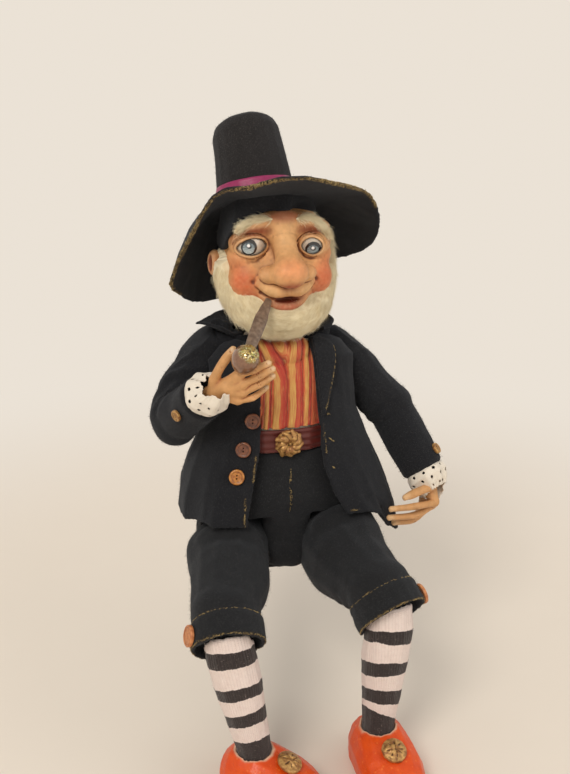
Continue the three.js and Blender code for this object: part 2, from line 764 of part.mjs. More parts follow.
// Wool: the beard is a ruff from temple to temple under the chin, the hair goes round the back
const beardRows = [
  { turn: -88, reach: 32.5, z: 51, deep: 3.5, tall: 9 },
  { turn: -72, reach: 32.5, z: 36, deep: 5, tall: 13 },
  { turn: -48, reach: 32.5, z: 23.5, deep: 7.5, tall: 14 },
  { turn: -22, reach: 31.5, z: 16, deep: 9, tall: 13.5 },
  { turn: 0, reach: 31, z: 14, deep: 9.5, tall: 12.5 },
  { turn: 22, reach: 31.5, z: 16, deep: 9, tall: 13.5 },
  { turn: 48, reach: 32.5, z: 23.5, deep: 7.5, tall: 14 },
  { turn: 72, reach: 32.5, z: 36, deep: 5, tall: 13 },
  { turn: 88, reach: 32.5, z: 51, deep: 3.5, tall: 9 },
];

function woolRuff(rows, steps, round) {
  const loops = [];
  for (let i = 0; i <= steps; i++) {
    const row = rowAt(rows, i / steps);
    const turn = degrees(row.turn);
    const loop = [];
    for (let j = 0; j < round; j++) {
      const angle = 2 * Math.PI * (j + 0.5) / round;
      const reach = row.reach + row.deep * Math.cos(angle);
      const height = neckHeight + row.z + row.tall * Math.sin(angle);
      loop.push(at(reach * Math.sin(turn), neckBack - reach * Math.cos(turn), height));
    }
    loops.push(loop);
  }
  return loftLoops(loops);
}

const beard = () => cut(
  woolRuff(beardRows, 12, 10),
  ...lumps(['cranium', 'face', 'chin', 'left_cheek', 'right_cheek', 'upper_lip', 'lower_lip'], seatGap),
  ...lumps(['left_ear', 'right_ear'], seatGap),
  neck(seatGap),
);

const hairRows = [
  { turn: 108, reach: 30, z: 44, deep: 4, tall: 13 },
  { turn: 135, reach: 30, z: 39, deep: 6, tall: 16 },
  { turn: 180, reach: 30, z: 35, deep: 7, tall: 18 },
  { turn: 225, reach: 30, z: 39, deep: 6, tall: 16 },
  { turn: 252, reach: 30, z: 44, deep: 4, tall: 13 },
];

const hair = () => cut(
  woolRuff(hairRows, 8, 10), ...lumps(['cranium', 'face', 'left_ear', 'right_ear'], seatGap), neck(seatGap));

function eyebrow(side) {
  const { inner, middle, outer } = browPlan[side.name];
  const settings = { steps: 4, round: 8, domes: 2, startBall: true, endBall: true };
  const tuft = limb([inner, middle, outer], [2, 3.2, 2.2], settings);
  return cut(tuft, ...lumps(['cranium', 'forehead', 'face'], seatGap), lid(side, seatGap));
}

const browPlan = {
  right: {
    inner: headAt(-12, -20.5, 70),
    middle: headAt(-20.5, -18.5, 68.5),
    outer: headAt(-27.5, -13, 62.5),
  },
  left: {
    inner: headAt(9.5, -20.5, 70.5),
    middle: headAt(17, -18.5, 67.5),
    outer: headAt(24.5, -13, 60.5),
  },
};

// Arms

const onForearm = (side, t) => side.elbow.clone().lerp(side.wrist, t);

function lowerSleeveShape(side, grow = 0) {
  const route = [0, 0.3, 0.65, 0.93].map((t) => onForearm(side, t));
  const radii = [elbowBall * 0.86, lowerSleeveRadius, lowerSleeveRadius, lowerSleeveRadius];
  return limb(route, radii, { steps: 4, round: 14, grow });
}

function lowerSleeve(side) {
  const tightest = upperArmRoom(side, side.elbow, elbowAxis[side.name], -tightestElbow[side.name]);
  const mouthRadii = [frillRoot + 1.8, frillEdge - 0.6];
  const mouth = limb([onForearm(side, 0.7), side.wrist], mouthRadii, { steps: 1, round: 14 });
  return cut(lowerSleeveShape(side), tightest, mouth, forearmBore(side));
}

const forearmEnd = (side) => side.wrist.clone().addScaledVector(side.forearmAim, 3);
const forearmBore = (side) => wireBore(side.elbow, forearmEnd(side), wireRadius);

// Button on the outside of the sleeve, set along it and turned out from it
const cuffButtonPlan = {
  right: { along: 33, out: at(-0.85, -0.46, -0.25) },
  left: { along: 38, out: at(0.65, -0.46, 0.61) },
};

function cuffButton(side) {
  const { along, out } = cuffButtonPlan[side.name];
  const aim = out.clone().addScaledVector(side.forearmAim, -out.dot(side.forearmAim)).normalize();
  const spot = side.elbow.clone().addScaledVector(side.forearmAim, along);
  return seated(button(cuffButtonRadius), spot.addScaledVector(aim, lowerSleeveRadius + seatGap), aim);
}

// Lace cuff: a gathered frill round the wrist
const frillRoot = 7;
const frillEdge = 12.4;
const frillLength = 15;
const frillWaves = 8;
const laceThickness = 0.8;

function aimed(centre, aim, hint = Z) {
  const across = new THREE.Vector3().crossVectors(hint, aim).normalize();
  const other = new THREE.Vector3().crossVectors(aim, across);
  return (x, y, z) => centre.clone()
    .addScaledVector(across, x)
    .addScaledVector(other, y)
    .addScaledVector(aim, z);
}

function laceCuff(side) {
  const start = side.wrist.clone().addScaledVector(side.forearmAim, -0.7 * frillLength);
  const local = aimed(start, side.forearmAim);
  const point = (u, v) => {
    const turn = 2 * Math.PI * u;
    const wave = 1.1 * v * Math.sin(frillWaves * turn);
    const radius = mix(frillRoot, frillEdge, Math.max(v, 0) ** 1.3) + wave;
    const drop = frillLength * v + 0.8 * v * Math.cos(2 * frillWaves * turn);
    return local(radius * Math.cos(turn), radius * Math.sin(turn), drop);
  };
  return cloth(point, 4 * frillWaves, 2, 0, laceThickness, true);
}

// Hands: the fingers run through a knuckle, a middle joint and a tip, all set from the wrist
const palmRadius = 4.2;
const wristRadius = 5;

const handPlan = {
  right: {
    knuckles: [at(14.4, -15.8, 14.9), at(16.9, -16.3, 10.4), at(16.9, -14.8, 5.4), at(14.9, -12.3, 0.4)],
    middles: [at(21.9, -19.8, 18.9), at(24.4, -19.8, 14.9), at(24.9, -18.3, 9.9), at(22.4, -15.3, 1.9)],
    tips: [at(30.4, -18.3, 21.4), at(32.7, -17.8, 17.9), at(33.1, -16.3, 13.4), at(30.3, -12.8, 5.9)],
    thumb: [at(3.4, -7.8, 10.9), at(6.4, -12.8, 20.4), at(12.5, -13.8, 28.9)],
    palm: at(9.4, -11.8, 7.4),
  },
  left: {
    knuckles: [at(3.3, -8.2, -15.8), at(3.3, -4.2, -19.3), at(2.3, -0.2, -22.3), at(0.8, 3.2, -23.3)],
    middles: [at(-12.2, -16.8, -12.8), at(-10.2, -13.2, -20.3), at(-9.7, -8.2, -25.8), at(-9.2, -2.8, -27.8)],
    tips: [at(-29, -21.7, -10.3), at(-29.6, -20.7, -16.3), at(-24.2, -14.2, -23.3), at(-18.7, -6.8, -26.3)],
    thumb: [at(-0.2, -7.2, -5.8), at(-8.2, -13.2, -4.8), at(-18.7, -16.8, -6.3)],
    palm: at(2, -2.7, -11.8),
  },
};
const fingerRadii = [2.2, 2, 1.7];
const thumbRadii = [2.9, 2.6, 2.2];

function handShape(side, grow = 0) {
  const placed = (point) => side.wrist.clone().add(point);
  const plan = handPlan[side.name];
  const routes = [plan.knuckles, plan.middles, plan.tips, plan.thumb];
  const [knuckles, middles, tips, thumbRoute] = routes.map((route) => route.map(placed));
  const palm = placed(plan.palm);
  const settings = { steps: 4, round: 6, domes: 2, endBall: true, grow };
  const start = side.wrist.clone().addScaledVector(side.forearmAim, -3);
  const stubSettings = { steps: 2, round: 8, domes: 2, endBall: true, grow };
  const stub = limb([start, palm], [wristRadius, palmRadius], stubSettings);
  const fingers = knuckles.map((knuckle, i) => {
    const root = palm.clone().lerp(knuckle, 0.35);
    return limb([root, knuckle, middles[i], tips[i]], [3.2, ...fingerRadii], settings);
  });
  const thumbRoot = side.wrist.clone().lerp(palm, 0.6);
  const thumb = limb([thumbRoot, ...thumbRoute], [palmRadius, ...thumbRadii], settings);
  return join(stub, ...fingers, thumb);
}

function hand(side) {
  const held = side === right ? [ball(bowlCentre, bowlRadius + seatGap, 14), pipeStem(2 * seatGap)] : [];
  return cut(handShape(side), forearmBore(side), ...held);
}

// Pipe: bowl between thumb and finger, flat stem up to the lips
const bowlCentre = right.wrist.clone().add(at(17.3, -22.8, 26.3));
const bowlAim = at(0.15, -0.55, 0.82).normalize();
const lipRest = headAt(-10, -25.8, 26.8);

function pipeBowl() {
  const r = bowlRadius;
  const outline = [
    [0, -r], [r * 0.5, -r * 0.9], [r * 0.87, -r * 0.5], [r, 0], [r * 0.94, r * 0.45], [r * 0.8, r * 0.75],
    [r * 0.62, r * 0.75], [r * 0.6, r * 0.3], [0, r * 0.1],
  ];
  return turned(outline, bowlCentre, bowlAim, 14);
}

function pipeTobacco() {
  const r = bowlRadius * 0.6 - seatGap;
  const outline = [[0, 0], [r, 0.4], [r, r * 0.5], [r * 0.7, r * 0.95], [0, r * 1.2]];
  const floor = bowlCentre.clone().addScaledVector(bowlAim, bowlRadius * 0.32 + seatGap);
  return turned(outline, floor, bowlAim, 12);
}

function pipeStem(grow = 0) {
  const reach = lipRest.clone().sub(bowlCentre);
  const length = reach.length();
  const aim = reach.normalize();
  const local = aimed(bowlCentre, aim, at(1, 0.3, 0));
  const stations = [
    [bowlRadius + seatGap, 0.8, 1],
    [0.4, 1, 0.95],
    [0.68, 1, 0.85],
    [0.86, 0.72, 0.75],
    [1, 0.5, 0.65],
  ];
  const loops = stations.map(([place, wide, thick]) => {
    const z = place > 1 ? place : place * length;
    return Array.from({ length: 12 }, (_, j) => {
      const turn = 2 * Math.PI * (j + 0.5) / 12;
      const across = (wide * stemWidth + grow) / 2 * Math.sin(turn);
      return local((thick * stemThickness + grow) / 2 * Math.cos(turn), across, z);
    });
  });
  return loftLoops(loops);
}

// Legs

function stockingLeg(side, grow = 0) {
  const bend = side.knee.clone().addScaledVector(side.cuffAim, 13);
  const shin = (t) => bend.clone().lerp(side.ankle, t);
  const foot = side.ankle.clone().addScaledVector(side.ankle.clone().sub(bend).normalize(), 6);
  const start = side.knee.clone().addScaledVector(side.cuffAim, 4);
  const route = [start, shin(0), shin(0.35), shin(0.7), side.ankle, foot];
  const aboveAnkle = mix(ankleRadius, calfRadius, 0.45);
  const radii = [calfRadius, calfRadius, calfRadius, aboveAnkle, ankleRadius, ankleRadius];
  return limb(route, radii, { steps: 7, round: 12, grow });
}

const shinWireEnds = (side) => {
  const aim = side.ankle.clone().sub(side.knee).normalize();
  const start = side.knee.clone().addScaledVector(aim, kneeBall + jointGap);
  return [start, side.ankle.clone().addScaledVector(aim, 14)];
};

const shinBore = (side) => wireBore(side.knee, shinWireEnds(side)[1], wireRadius);

function stocking(side) {
  return cut(stockingLeg(side), ball(side.knee, kneeBall + swingGap, 14), shinBore(side));
}

function kneeCuff(side) {
  const outline = [
    [calfRadius + seatGap, 3],
    [kneeBall + 1.4, 3],
    [kneeBall + cuffFlare, 10],
    [kneeBall + 2, cuffBandLength],
    [kneeBall - 0.4, cuffBandLength],
    [kneeBall - 1, 11],
    [calfRadius + seatGap, 10],
    [calfRadius + seatGap, 3],
  ];
  const ring = turned(outline, side.knee, side.cuffAim, 18);
  return cut(ring, thighRoom(side, side.knee, -tightestKnee), stockingLeg(side, seatGap));
}

function kneeButton(side) {
  const out = at(side.sign, 0, 0).applyAxisAngle(Z, -side.sign * side.buttonTurn);
  out.addScaledVector(side.cuffAim, -out.dot(side.cuffAim)).normalize();
  const spot = side.knee.clone().addScaledVector(side.cuffAim, 11.5);
  return seated(button(kneeButtonRadius), spot.addScaledVector(out, kneeBall + cuffFlare + seatGap), out);
}

// Shoe: sections along its length, from the rounded heel to the rounded toe
const shoeSections = [
  { along: -18.5, half: 3, tall: 12, low: 9 },
  { along: -15, half: 11, tall: 24, low: 2 },
  { along: -7, half: 15.5, tall: 29, low: 0 },
  { along: 3, half: 17, tall: 29.5, low: 0 },
  { along: 13, half: 18, tall: 26.5, low: 0 },
  { along: 24, half: 18, tall: 22, low: 0 },
  { along: 33, half: 15, tall: 17.5, low: 0.5 },
  { along: 39, half: 10, tall: 13, low: 2.5 },
  { along: 42, half: 3, tall: 9, low: 6 },
];

// Toe turned about the ankle, on the level of the sole
function shoePlace(side, x, y, z) {
  const spot = at(x, y, z).applyAxisAngle(Z, side.toeTurn);
  return spot.add(side.ankle).addScaledVector(Z, -ankleHeight);
}

function shoe(side) {
  const loops = [];
  for (let i = 0; i <= 10; i++) {
    const row = rowAt(shoeSections, i / 10);
    const middle = row.low + 0.35 * (row.tall - row.low);
    loops.push(Array.from({ length: 14 }, (_, j) => {
      const turn = 2 * Math.PI * (j + 0.5) / 14;
      const [c, s] = [Math.cos(turn), Math.sin(turn)];
      const up = s > 0 ? (row.tall - middle) * s ** 0.85 : -(middle - row.low) * (-s) ** 0.45;
      return shoePlace(side, row.half * Math.sign(c) * Math.abs(c) ** 0.8, -row.along, middle + up);
    }));
  }
  return cut(loftLoops(loops), stockingLeg(side, seatGap), shinBore(side));
}

const ornamentAlong = 21;

function shoeOrnament(side) {
  const aim = at(0, -0.42, 0.91).normalize().applyAxisAngle(Z, side.toeTurn);
  const shoeTop = rowAt(shoeSections, placeOf(shoeSections, 'along', ornamentAlong)).tall;
  const spot = shoePlace(side, 0, -ornamentAlong, shoeTop + seatGap);
  return seated(lobedDisc(ornamentRadius, ornamentThickness, 5), spot, aim);
}

// Materials

function material(color, roughness, metalness = 0) {
  return new THREE.MeshStandardMaterial({ color, roughness, metalness });
}
const felt = () => material('#1b1c20', 0.95);
const calico = () => material('#d8d0c0', 0.9);
const brocade = () => material('#c8401e', 0.8);
const sash = () => material('#5e150f', 0.6);
const ribbon = () => material('#8e1650', 0.6);
const skin = () => material('#d99a6c', 0.6);
const glaze = () => material('#7f95a8', 0.1);
const wool = () => material('#e9e2cf', 0.95);
const gilt = () => material('#9c7a33', 0.35, 0.8);
const knit = () => material('#cfc3c4', 0.9);
const wire = () => material('#9a9a98', 0.4, 0.9);
const lace = () => material('#eef0ea', 0.9);
const paintedClay = () => material('#d9491c', 0.4);
const orangeClay = () => material('#c96a4a', 0.5);
const brownClay = () => material('#7a4320', 0.5);

// Assembly: each part of the body that moves by itself is a group at its own joint

const doll = new THREE.Group();
const joints = new Map([[doll, at(0, 0, 0)]]);

function bodyGroup(parent, joint, pieces) {
  const group = new THREE.Group();
  group.position.copy(joint).sub(joints.get(parent));
  joints.set(group, joint);
  parent.add(group);
  for (const [name, piece, finish] of pieces) {
    const shape = piece.geometry ?? piece.translate(-joint.x, -joint.y, -joint.z);
    const mesh = new THREE.Mesh(closed(shape), finish);
    mesh.name = name;
    if (piece.spot) mesh.position.copy(piece.spot).sub(joint);
    if (piece.turn) mesh.quaternion.copy(piece.turn);
    group.add(mesh);
  }
  return group;
}

const waistPlace = placeOfHeight(stuffingRows, waistHeight + beltHeight / 2);
const beltFace = sectionPoint(rowAt(stuffingRows, waistPlace), 0, seatGap * 2 + beltThickness + beltSlack);
const buckle = seated(lobedDisc(buckleRadius, buckleThickness, 6), beltFace, at(0, -1, 0));

const torso = bodyGroup(doll, at(0, 0, 0), [
  ['body_stuffing', bodyStuffing(), calico()],
  ['breeches_seat', breechesSeat(), felt()],
  ['spine_wire', wireBetween(spineBase, spineTop, spineRadius), wire()],
  ['shirt_front', shirtFront(), brocade()],
  ['belt', belt(), sash()],
  ['belt_buckle', buckle, gilt()],
  ['jacket_back', cut(jacketBack(), ...jacketClearance()), felt()],
  ['jacket_right_front', cut(jacketFront(right), ...jacketClearance()), felt()],
  ['jacket_left_front', cut(jacketFront(left), ...jacketClearance()), felt()],
  ['collar', collar(), felt()],
  ['right_lapel', cut(lapel(right, 0.34, 26), ...armhole(right)), felt()],
  ['left_lapel', cut(lapel(left, 0.5, 26), ...armhole(left)), felt()],
  ...jacketButtons().map((piece, i) => [`jacket_button_${i + 1}`, piece, brownClay()]),
]);

bodyGroup(torso, at(0, neckBack, neckHeight), [
  ['head', head(), skin()],
  ...sides.map((side) => [`${side.name}_eye`, ball(eyePlace(side), eyeRadius, 12), glaze()]),
  ...sides.map((side) => [`${side.name}_eyebrow`, eyebrow(side), wool()]),
  ['beard', beard(), wool()],
  ['hair', hair(), wool()],
  ['hat_brim', hatBrim(), felt()],
  ['hat_crown', hatCrown(), felt()],
  ['hat_band', hatBand(), ribbon()],
]);

function arm(side) {
  const { name, shoulder, elbow, upperArmAim, forearmAim } = side;
  const sleeveEnds = (inset) => [
    shoulder.clone().addScaledVector(upperArmAim, inset - shoulderBall),
    elbow.clone().addScaledVector(upperArmAim, elbowBall - inset),
  ];
  const forearmStart = elbow.clone().addScaledVector(forearmAim, elbowBall + forearmWireInset);
  const upper = bodyGroup(torso, shoulder, [
    [`${name}_upper_sleeve`, cut(upperSleeve(side), wireBore(...sleeveEnds(0), wireRadius)), felt()],
    [`${name}_upper_arm_wire`, wireBetween(...sleeveEnds(wireInset), wireRadius), wire()],
  ]);
  const lower = bodyGroup(upper, elbow, [
    [`${name}_lower_sleeve`, lowerSleeve(side), felt()],
    [`${name}_cuff_button`, cuffButton(side), brownClay()],
    [`${name}_forearm_wire`, wireBetween(forearmStart, forearmEnd(side), wireRadius), wire()],
    [`${name}_lace_cuff`, laceCuff(side), lace()],
    [`${name}_hand`, hand(side), skin()],
  ]);
  return lower;
}

function leg(side) {
  const { name, hip, knee } = side;
  const aim = knee.clone().sub(hip).normalize();
  const legEnds = (inset) => [
    hip.clone().addScaledVector(aim, inset - hipBall),
    knee.clone().addScaledVector(aim, kneeBall - inset),
  ];
  const upper = bodyGroup(torso, hip, [
    [`${name}_breeches_leg`, cut(thigh(side), wireBore(...legEnds(0), wireRadius)), felt()],
    [`${name}_thigh_wire`, wireBetween(...legEnds(wireInset), wireRadius), wire()],
  ]);
  bodyGroup(upper, knee, [
    [`${name}_knee_cuff`, kneeCuff(side), felt()],
    [`${name}_knee_button`, kneeButton(side), orangeClay()],
    [`${name}_stocking_leg`, stocking(side), knit()],
    [`${name}_shin_wire`, wireBetween(...shinWireEnds(side), wireRadius), wire()],
    [`${name}_shoe`, shoe(side), paintedClay()],
    [`${name}_shoe_ornament`, shoeOrnament(side), gilt()],
  ]);
}

const pipeArm = arm(right);
bodyGroup(pipeArm, bowlCentre, [
  ['pipe_bowl', pipeBowl(), material('#4a2a1a', 0.4)],
  ['pipe_tobacco', pipeTobacco(), gilt()],
  ['pipe_stem', pipeStem(), material('#6d5f55', 0.5)],
]);
arm(left);
sides.forEach(leg);

export default doll;
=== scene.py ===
import math

import bmesh
import bpy
import numpy as np
from mathutils import Euler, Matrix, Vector
from mathutils.bvhtree import BVHTree
from mathutils.kdtree import KDTree


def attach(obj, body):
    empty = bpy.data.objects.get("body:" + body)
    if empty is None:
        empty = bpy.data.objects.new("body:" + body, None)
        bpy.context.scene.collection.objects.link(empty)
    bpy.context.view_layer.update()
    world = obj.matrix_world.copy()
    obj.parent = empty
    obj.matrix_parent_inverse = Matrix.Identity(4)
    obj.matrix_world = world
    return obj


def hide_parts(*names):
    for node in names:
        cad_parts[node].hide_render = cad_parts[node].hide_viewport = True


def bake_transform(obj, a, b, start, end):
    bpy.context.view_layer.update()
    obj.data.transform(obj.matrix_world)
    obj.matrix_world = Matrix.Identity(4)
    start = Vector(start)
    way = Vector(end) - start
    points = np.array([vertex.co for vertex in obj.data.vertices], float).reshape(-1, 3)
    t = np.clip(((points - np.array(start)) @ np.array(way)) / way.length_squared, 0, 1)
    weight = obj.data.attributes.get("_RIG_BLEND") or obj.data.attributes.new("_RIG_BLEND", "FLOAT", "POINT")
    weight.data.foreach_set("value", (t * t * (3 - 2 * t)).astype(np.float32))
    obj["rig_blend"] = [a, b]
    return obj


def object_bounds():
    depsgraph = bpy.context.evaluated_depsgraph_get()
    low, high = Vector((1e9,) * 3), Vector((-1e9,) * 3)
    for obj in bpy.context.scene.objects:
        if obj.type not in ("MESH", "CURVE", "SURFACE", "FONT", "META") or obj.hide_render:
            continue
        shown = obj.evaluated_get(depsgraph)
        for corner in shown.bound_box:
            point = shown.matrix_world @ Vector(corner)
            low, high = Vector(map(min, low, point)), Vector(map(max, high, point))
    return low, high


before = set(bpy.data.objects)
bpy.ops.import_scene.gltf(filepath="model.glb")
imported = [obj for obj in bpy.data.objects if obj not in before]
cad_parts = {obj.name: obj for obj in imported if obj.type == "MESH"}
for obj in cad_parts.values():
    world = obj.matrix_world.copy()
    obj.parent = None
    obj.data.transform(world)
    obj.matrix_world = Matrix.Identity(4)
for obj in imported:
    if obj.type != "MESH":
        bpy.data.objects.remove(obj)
cad_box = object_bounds()

# Sizes are in millimetres in the doll's frame: it faces -Y, and its own left is at +X
MM = 0.001

# Head
EYE_RADIUS = 10.3
EYE_CENTRES = {"right": (-17.5, -10, 203), "left": (17.5, -10, 203)}
GAZE = {"right": (-0.19, -0.98, -0.04), "left": (-0.09, -0.94, -0.33)}
LID_RADIUS = EYE_RADIUS + 0.9
EYE_HIGH, EYE_LOW = 4.7, 4.1
EYE_WIDE = {"right": 7.9, "left": 5.3}
EYE_SHIFT = {"right": 0.0, "left": -1.5}
EYE_DROP = {"right": 0.5, "left": 1.4}
EARS = {"right": (-33.4, 8, 189), "left": (33, 15, 190)}
EAR_CLEAR = 9
HEAD_GRAIN = 0.5

# Joints that soft pieces bend over
ELBOWS = {"right": (-59.9, -1.2, 99.0), "left": (70.0, 3.4, 96.2)}
SHOULDERS = {"right": (-39, 13, 135), "left": (44, 14, 130)}
WRISTS = {"right": (-47.9, -38.2, 127.1), "left": (88.0, -20.8, 58.8)}
HIPS = {"right": (-27, -8, 24), "left": (27, -8, 24)}
KNEES = {"right": (-48.5, -83, 17), "left": (38, -83, 21)}
ANKLES = {"right": (-38, -103, -52), "left": (35, -99, -52)}
CUFF_AIMS = {"right": (-0.05, -0.79, -0.61), "left": (0.26, -0.74, -0.62)}
SIGN = {"right": -1, "left": 1}


# Small vector tools

def unit(vectors):
    vectors = np.asarray(vectors, float)
    return vectors / np.maximum(np.linalg.norm(vectors, axis=-1, keepdims=True), 1e-12)


def mix(a, b, share):
    return a + (b - a) * share


def fade(values, near, far):
    """1 up to near, 0 past far, smooth between them."""
    t = np.clip((np.asarray(values) - near) / (far - near), 0, 1)
    return 1 - t * t * (3 - 2 * t)


def route(points, count):
    """A smooth curve through the points, as count points spread along it."""
    points = np.asarray(points, float)
    before = np.vstack([2 * points[0] - points[1], points, 2 * points[-1] - points[-2]])
    curve = []
    for place in np.linspace(0, len(points) - 1, count):
        i = min(int(place), len(points) - 2)
        t = place - i
        a, b, c, d = before[i:i + 4]
        curve.append(0.5 * (2 * b + (c - a) * t + (2 * a - 5 * b + 4 * c - d) * t ** 2
                            + (3 * b - a - 3 * c + d) * t ** 3))
    return np.array(curve)


def random_heights(points, size, seed):
    """Smooth random heights from -1 to 1 with bumps about size across."""
    places = points / size + 13.7 * seed
    cells = np.floor(places).astype(np.int64)
    part = places - cells
    part = part * part * (3 - 2 * part)
    total = np.zeros(len(points))
    for corner in np.ndindex(2, 2, 2):
        x, y, z = (cells + corner).T
        mixed = (x * 73856093) ^ (y * 19349663) ^ (z * 83492791) ^ (seed * 2654435761)
        mixed = (mixed ^ (mixed >> 13)) * 1274126177
        height = ((mixed ^ (mixed >> 16)) & 0xFFFF) / 32767.5 - 1
        share = np.prod(np.where(corner, part, 1 - part), axis=1)
        total += height * share
    return total


# Meshes

def new_piece(name, points, faces, finish):
    """A smooth-shaded piece from points in millimetres and faces of one number of corners."""
    points = np.asarray(points, float)
    faces = np.asarray(faces, int)
    mesh = bpy.data.meshes.new(name)
    mesh.vertices.add(len(points))
    mesh.vertices.foreach_set("co", (points * MM).ravel())
    mesh.loops.add(faces.size)
    mesh.loops.foreach_set("vertex_index", faces.ravel())
    mesh.polygons.add(len(faces))
    mesh.polygons.foreach_set("loop_start", np.arange(len(faces)) * faces.shape[1])
    mesh.update(calc_edges=True)
    mesh.validate()
    return as_piece(name, mesh, finish)


def as_piece(name, mesh, finish):
    mesh.polygons.foreach_set("use_smooth", np.ones(len(mesh.polygons), bool))
    piece = bpy.data.objects.new(name, mesh)
    bpy.context.scene.collection.objects.link(piece)
    mesh.materials.clear()
    mesh.materials.append(finish)
    paint(piece, "rest", points_of(piece))
    return piece


def points_of(piece):
    values = np.empty(3 * len(piece.data.vertices))
    piece.data.vertices.foreach_get("co", values)
    return values.reshape(-1, 3) / MM


def normals_of(piece):
    values = np.empty(3 * len(piece.data.vertices))
    piece.data.vertices.foreach_get("normal", values)
    return values.reshape(-1, 3)


def move_points(piece, points):
    piece.data.vertices.foreach_set("co", (np.asarray(points, float) * MM).ravel())
    piece.data.update()


def swell(piece, heights):
    """Moves every point along its normal by its height."""
    move_points(piece, points_of(piece) + normals_of(piece) * np.asarray(heights)[:, None])


def paint(piece, name, values):
    """Stores a value, a vector or a colour on every point, for the materials."""
    values = np.asarray(values, float)
    kind, key = {1: ("FLOAT", "value"), 2: ("FLOAT_VECTOR", "vector")}[values.ndim]
    if values.ndim == 2 and values.shape[1] == 4:
        kind, key = "FLOAT_COLOR", "color"
    layer = piece.data.attributes.get(name) or piece.data.attributes.new(name, kind, "POINT")
    layer.data.foreach_set(key, values.ravel())


def edges_of(piece):
    values = np.empty(2 * len(piece.data.edges), int)
    piece.data.edges.foreach_get("vertices", values)
    return values.reshape(-1, 2)


def relaxed(points, edges, rounds, pulls=(0.5, -0.52)):
    """Evens the points out without shrinking the whole."""
    count = len(points)
    ends = np.concatenate([edges[:, 0], edges[:, 1]])
    others = np.concatenate([edges[:, 1], edges[:, 0]])
    degree = np.maximum(np.bincount(ends, minlength=count), 1)[:, None]
    points = points.copy()
    for _ in range(rounds):
        for pull in pulls:
            around = [np.bincount(ends, points[others, axis], count) for axis in range(3)]
            points += pull * (np.stack(around, 1) / degree - points)
    return points


def relax(piece, rounds):
    """Evens a piece's points out, and takes that as its resting shape."""
    points = relaxed(points_of(piece), edges_of(piece), rounds)
    move_points(piece, points)
    paint(piece, "rest", points_of(piece))


def hollows(piece, rounds=4):
    """How far each point lies in a crease (positive) or on a ridge (negative), in millimetres."""
    points = points_of(piece)
    flat = relaxed(points, edges_of(piece), rounds, (0.7,))
    return np.einsum("ij,ij->i", flat - points, normals_of(piece))


def solid_of(*nodes):
    """The solids of some nodes as one mesh with its corners welded."""
    joined = bmesh.new()
    for node in nodes:
        joined.from_mesh(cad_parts[node].data)
    bmesh.ops.remove_doubles(joined, verts=joined.verts, dist=1e-6)
    return joined


def skinned(name, nodes, grain, rounds, finish, fillers=()):
    """One smooth closed skin over the nodes' solids; fillers are (centre, radius) balls that join them."""
    joined = solid_of(*nodes)
    for centre, radius in fillers:
        place = bmesh.ops.create_icosphere(joined, subdivisions=4, radius=radius * MM)
        bmesh.ops.translate(joined, verts=place["verts"], vec=Vector(centre) * MM)
    mesh = bpy.data.meshes.new(name)
    joined.to_mesh(mesh)
    joined.free()
    rough = bpy.data.objects.new(name + "_rough", mesh)
    bpy.context.scene.collection.objects.link(rough)
    remesh = rough.modifiers.new("Skin", "REMESH")
    remesh.mode = "VOXEL"
    remesh.voxel_size = grain * MM
    made = bpy.data.meshes.new_from_object(rough.evaluated_get(bpy.context.evaluated_depsgraph_get()))
    bpy.data.objects.remove(rough)
    made.name = name
    for layer in list(made.attributes):
        if not layer.is_internal and layer.name not in ("position", "sharp_face"):
            made.attributes.remove(layer)
    piece = as_piece(name, made, finish)
    relax(piece, rounds)
    return piece


def rim_of(node, angle=50, spacing=0.6):
    """Points along the sharp edges of a node's solid: edges past an angle, points at a spacing."""
    joined = solid_of(node)
    found = []
    for edge in joined.edges:
        if len(edge.link_faces) == 2 and edge.calc_face_angle() > math.radians(angle):
            a, b = (np.array(vert.co) / MM for vert in edge.verts)
            count = max(1, int(np.linalg.norm(b - a) / spacing))
            found.extend(mix(a, b, i / count) for i in range(count + 1))
    joined.free()
    return np.array(found)


def distances(points, targets):
    """Distance from each point to the nearest target."""
    tree = KDTree(len(targets))
    for i, target in enumerate(targets):
        tree.insert(target, i)
    tree.balance()
    return np.array([tree.find(point)[2] for point in points])


# Modelling clay: signed distances on a grid, negative inside, with the skin drawn where they are zero

def lump(centre, size, tilt=None):
    """An egg with its half-sizes, turned by Euler angles in degrees."""
    centre, size = np.array(centre, float), np.array(size, float)
    turn = None if tilt is None else np.array(Euler([math.radians(a) for a in tilt]).to_matrix())

    def distance(x, y, z):
        x, y, z = x - centre[0], y - centre[1], z - centre[2]
        if turn is not None:
            x, y, z = (turn[0, i] * x + turn[1, i] * y + turn[2, i] * z for i in range(3))
        near = np.sqrt((x / size[0]) ** 2 + (y / size[1]) ** 2 + (z / size[2]) ** 2)
        slope = np.sqrt((x / size[0] ** 2) ** 2 + (y / size[1] ** 2) ** 2 + (z / size[2] ** 2) ** 2)
        return near * (near - 1) / np.maximum(slope, 1e-6)

    reach = size if turn is None else np.full(3, size.max())
    return distance, centre - reach, centre + reach


def roll(points, radii):
    """A worm of clay through the points, with its radius at each."""
    points, radii = np.asarray(points, float), np.broadcast_to(radii, len(points)).astype(float)

    def distance(x, y, z):
        best = None
        for a, b, ra, rb in zip(points[:-1], points[1:], radii[:-1], radii[1:]):
            way = b - a
            long = max(way @ way, 1e-9)
            t = np.clip(((x - a[0]) * way[0] + (y - a[1]) * way[1] + (z - a[2]) * way[2]) / long, 0, 1)
            away = np.sqrt((x - a[0] - t * way[0]) ** 2 + (y - a[1] - t * way[1]) ** 2
                           + (z - a[2] - t * way[2]) ** 2) - mix(ra, rb, t)
            best = away if best is None else np.minimum(best, away)
        return best

    reach = radii.max()
    return distance, points.min(0) - reach, points.max(0) + reach


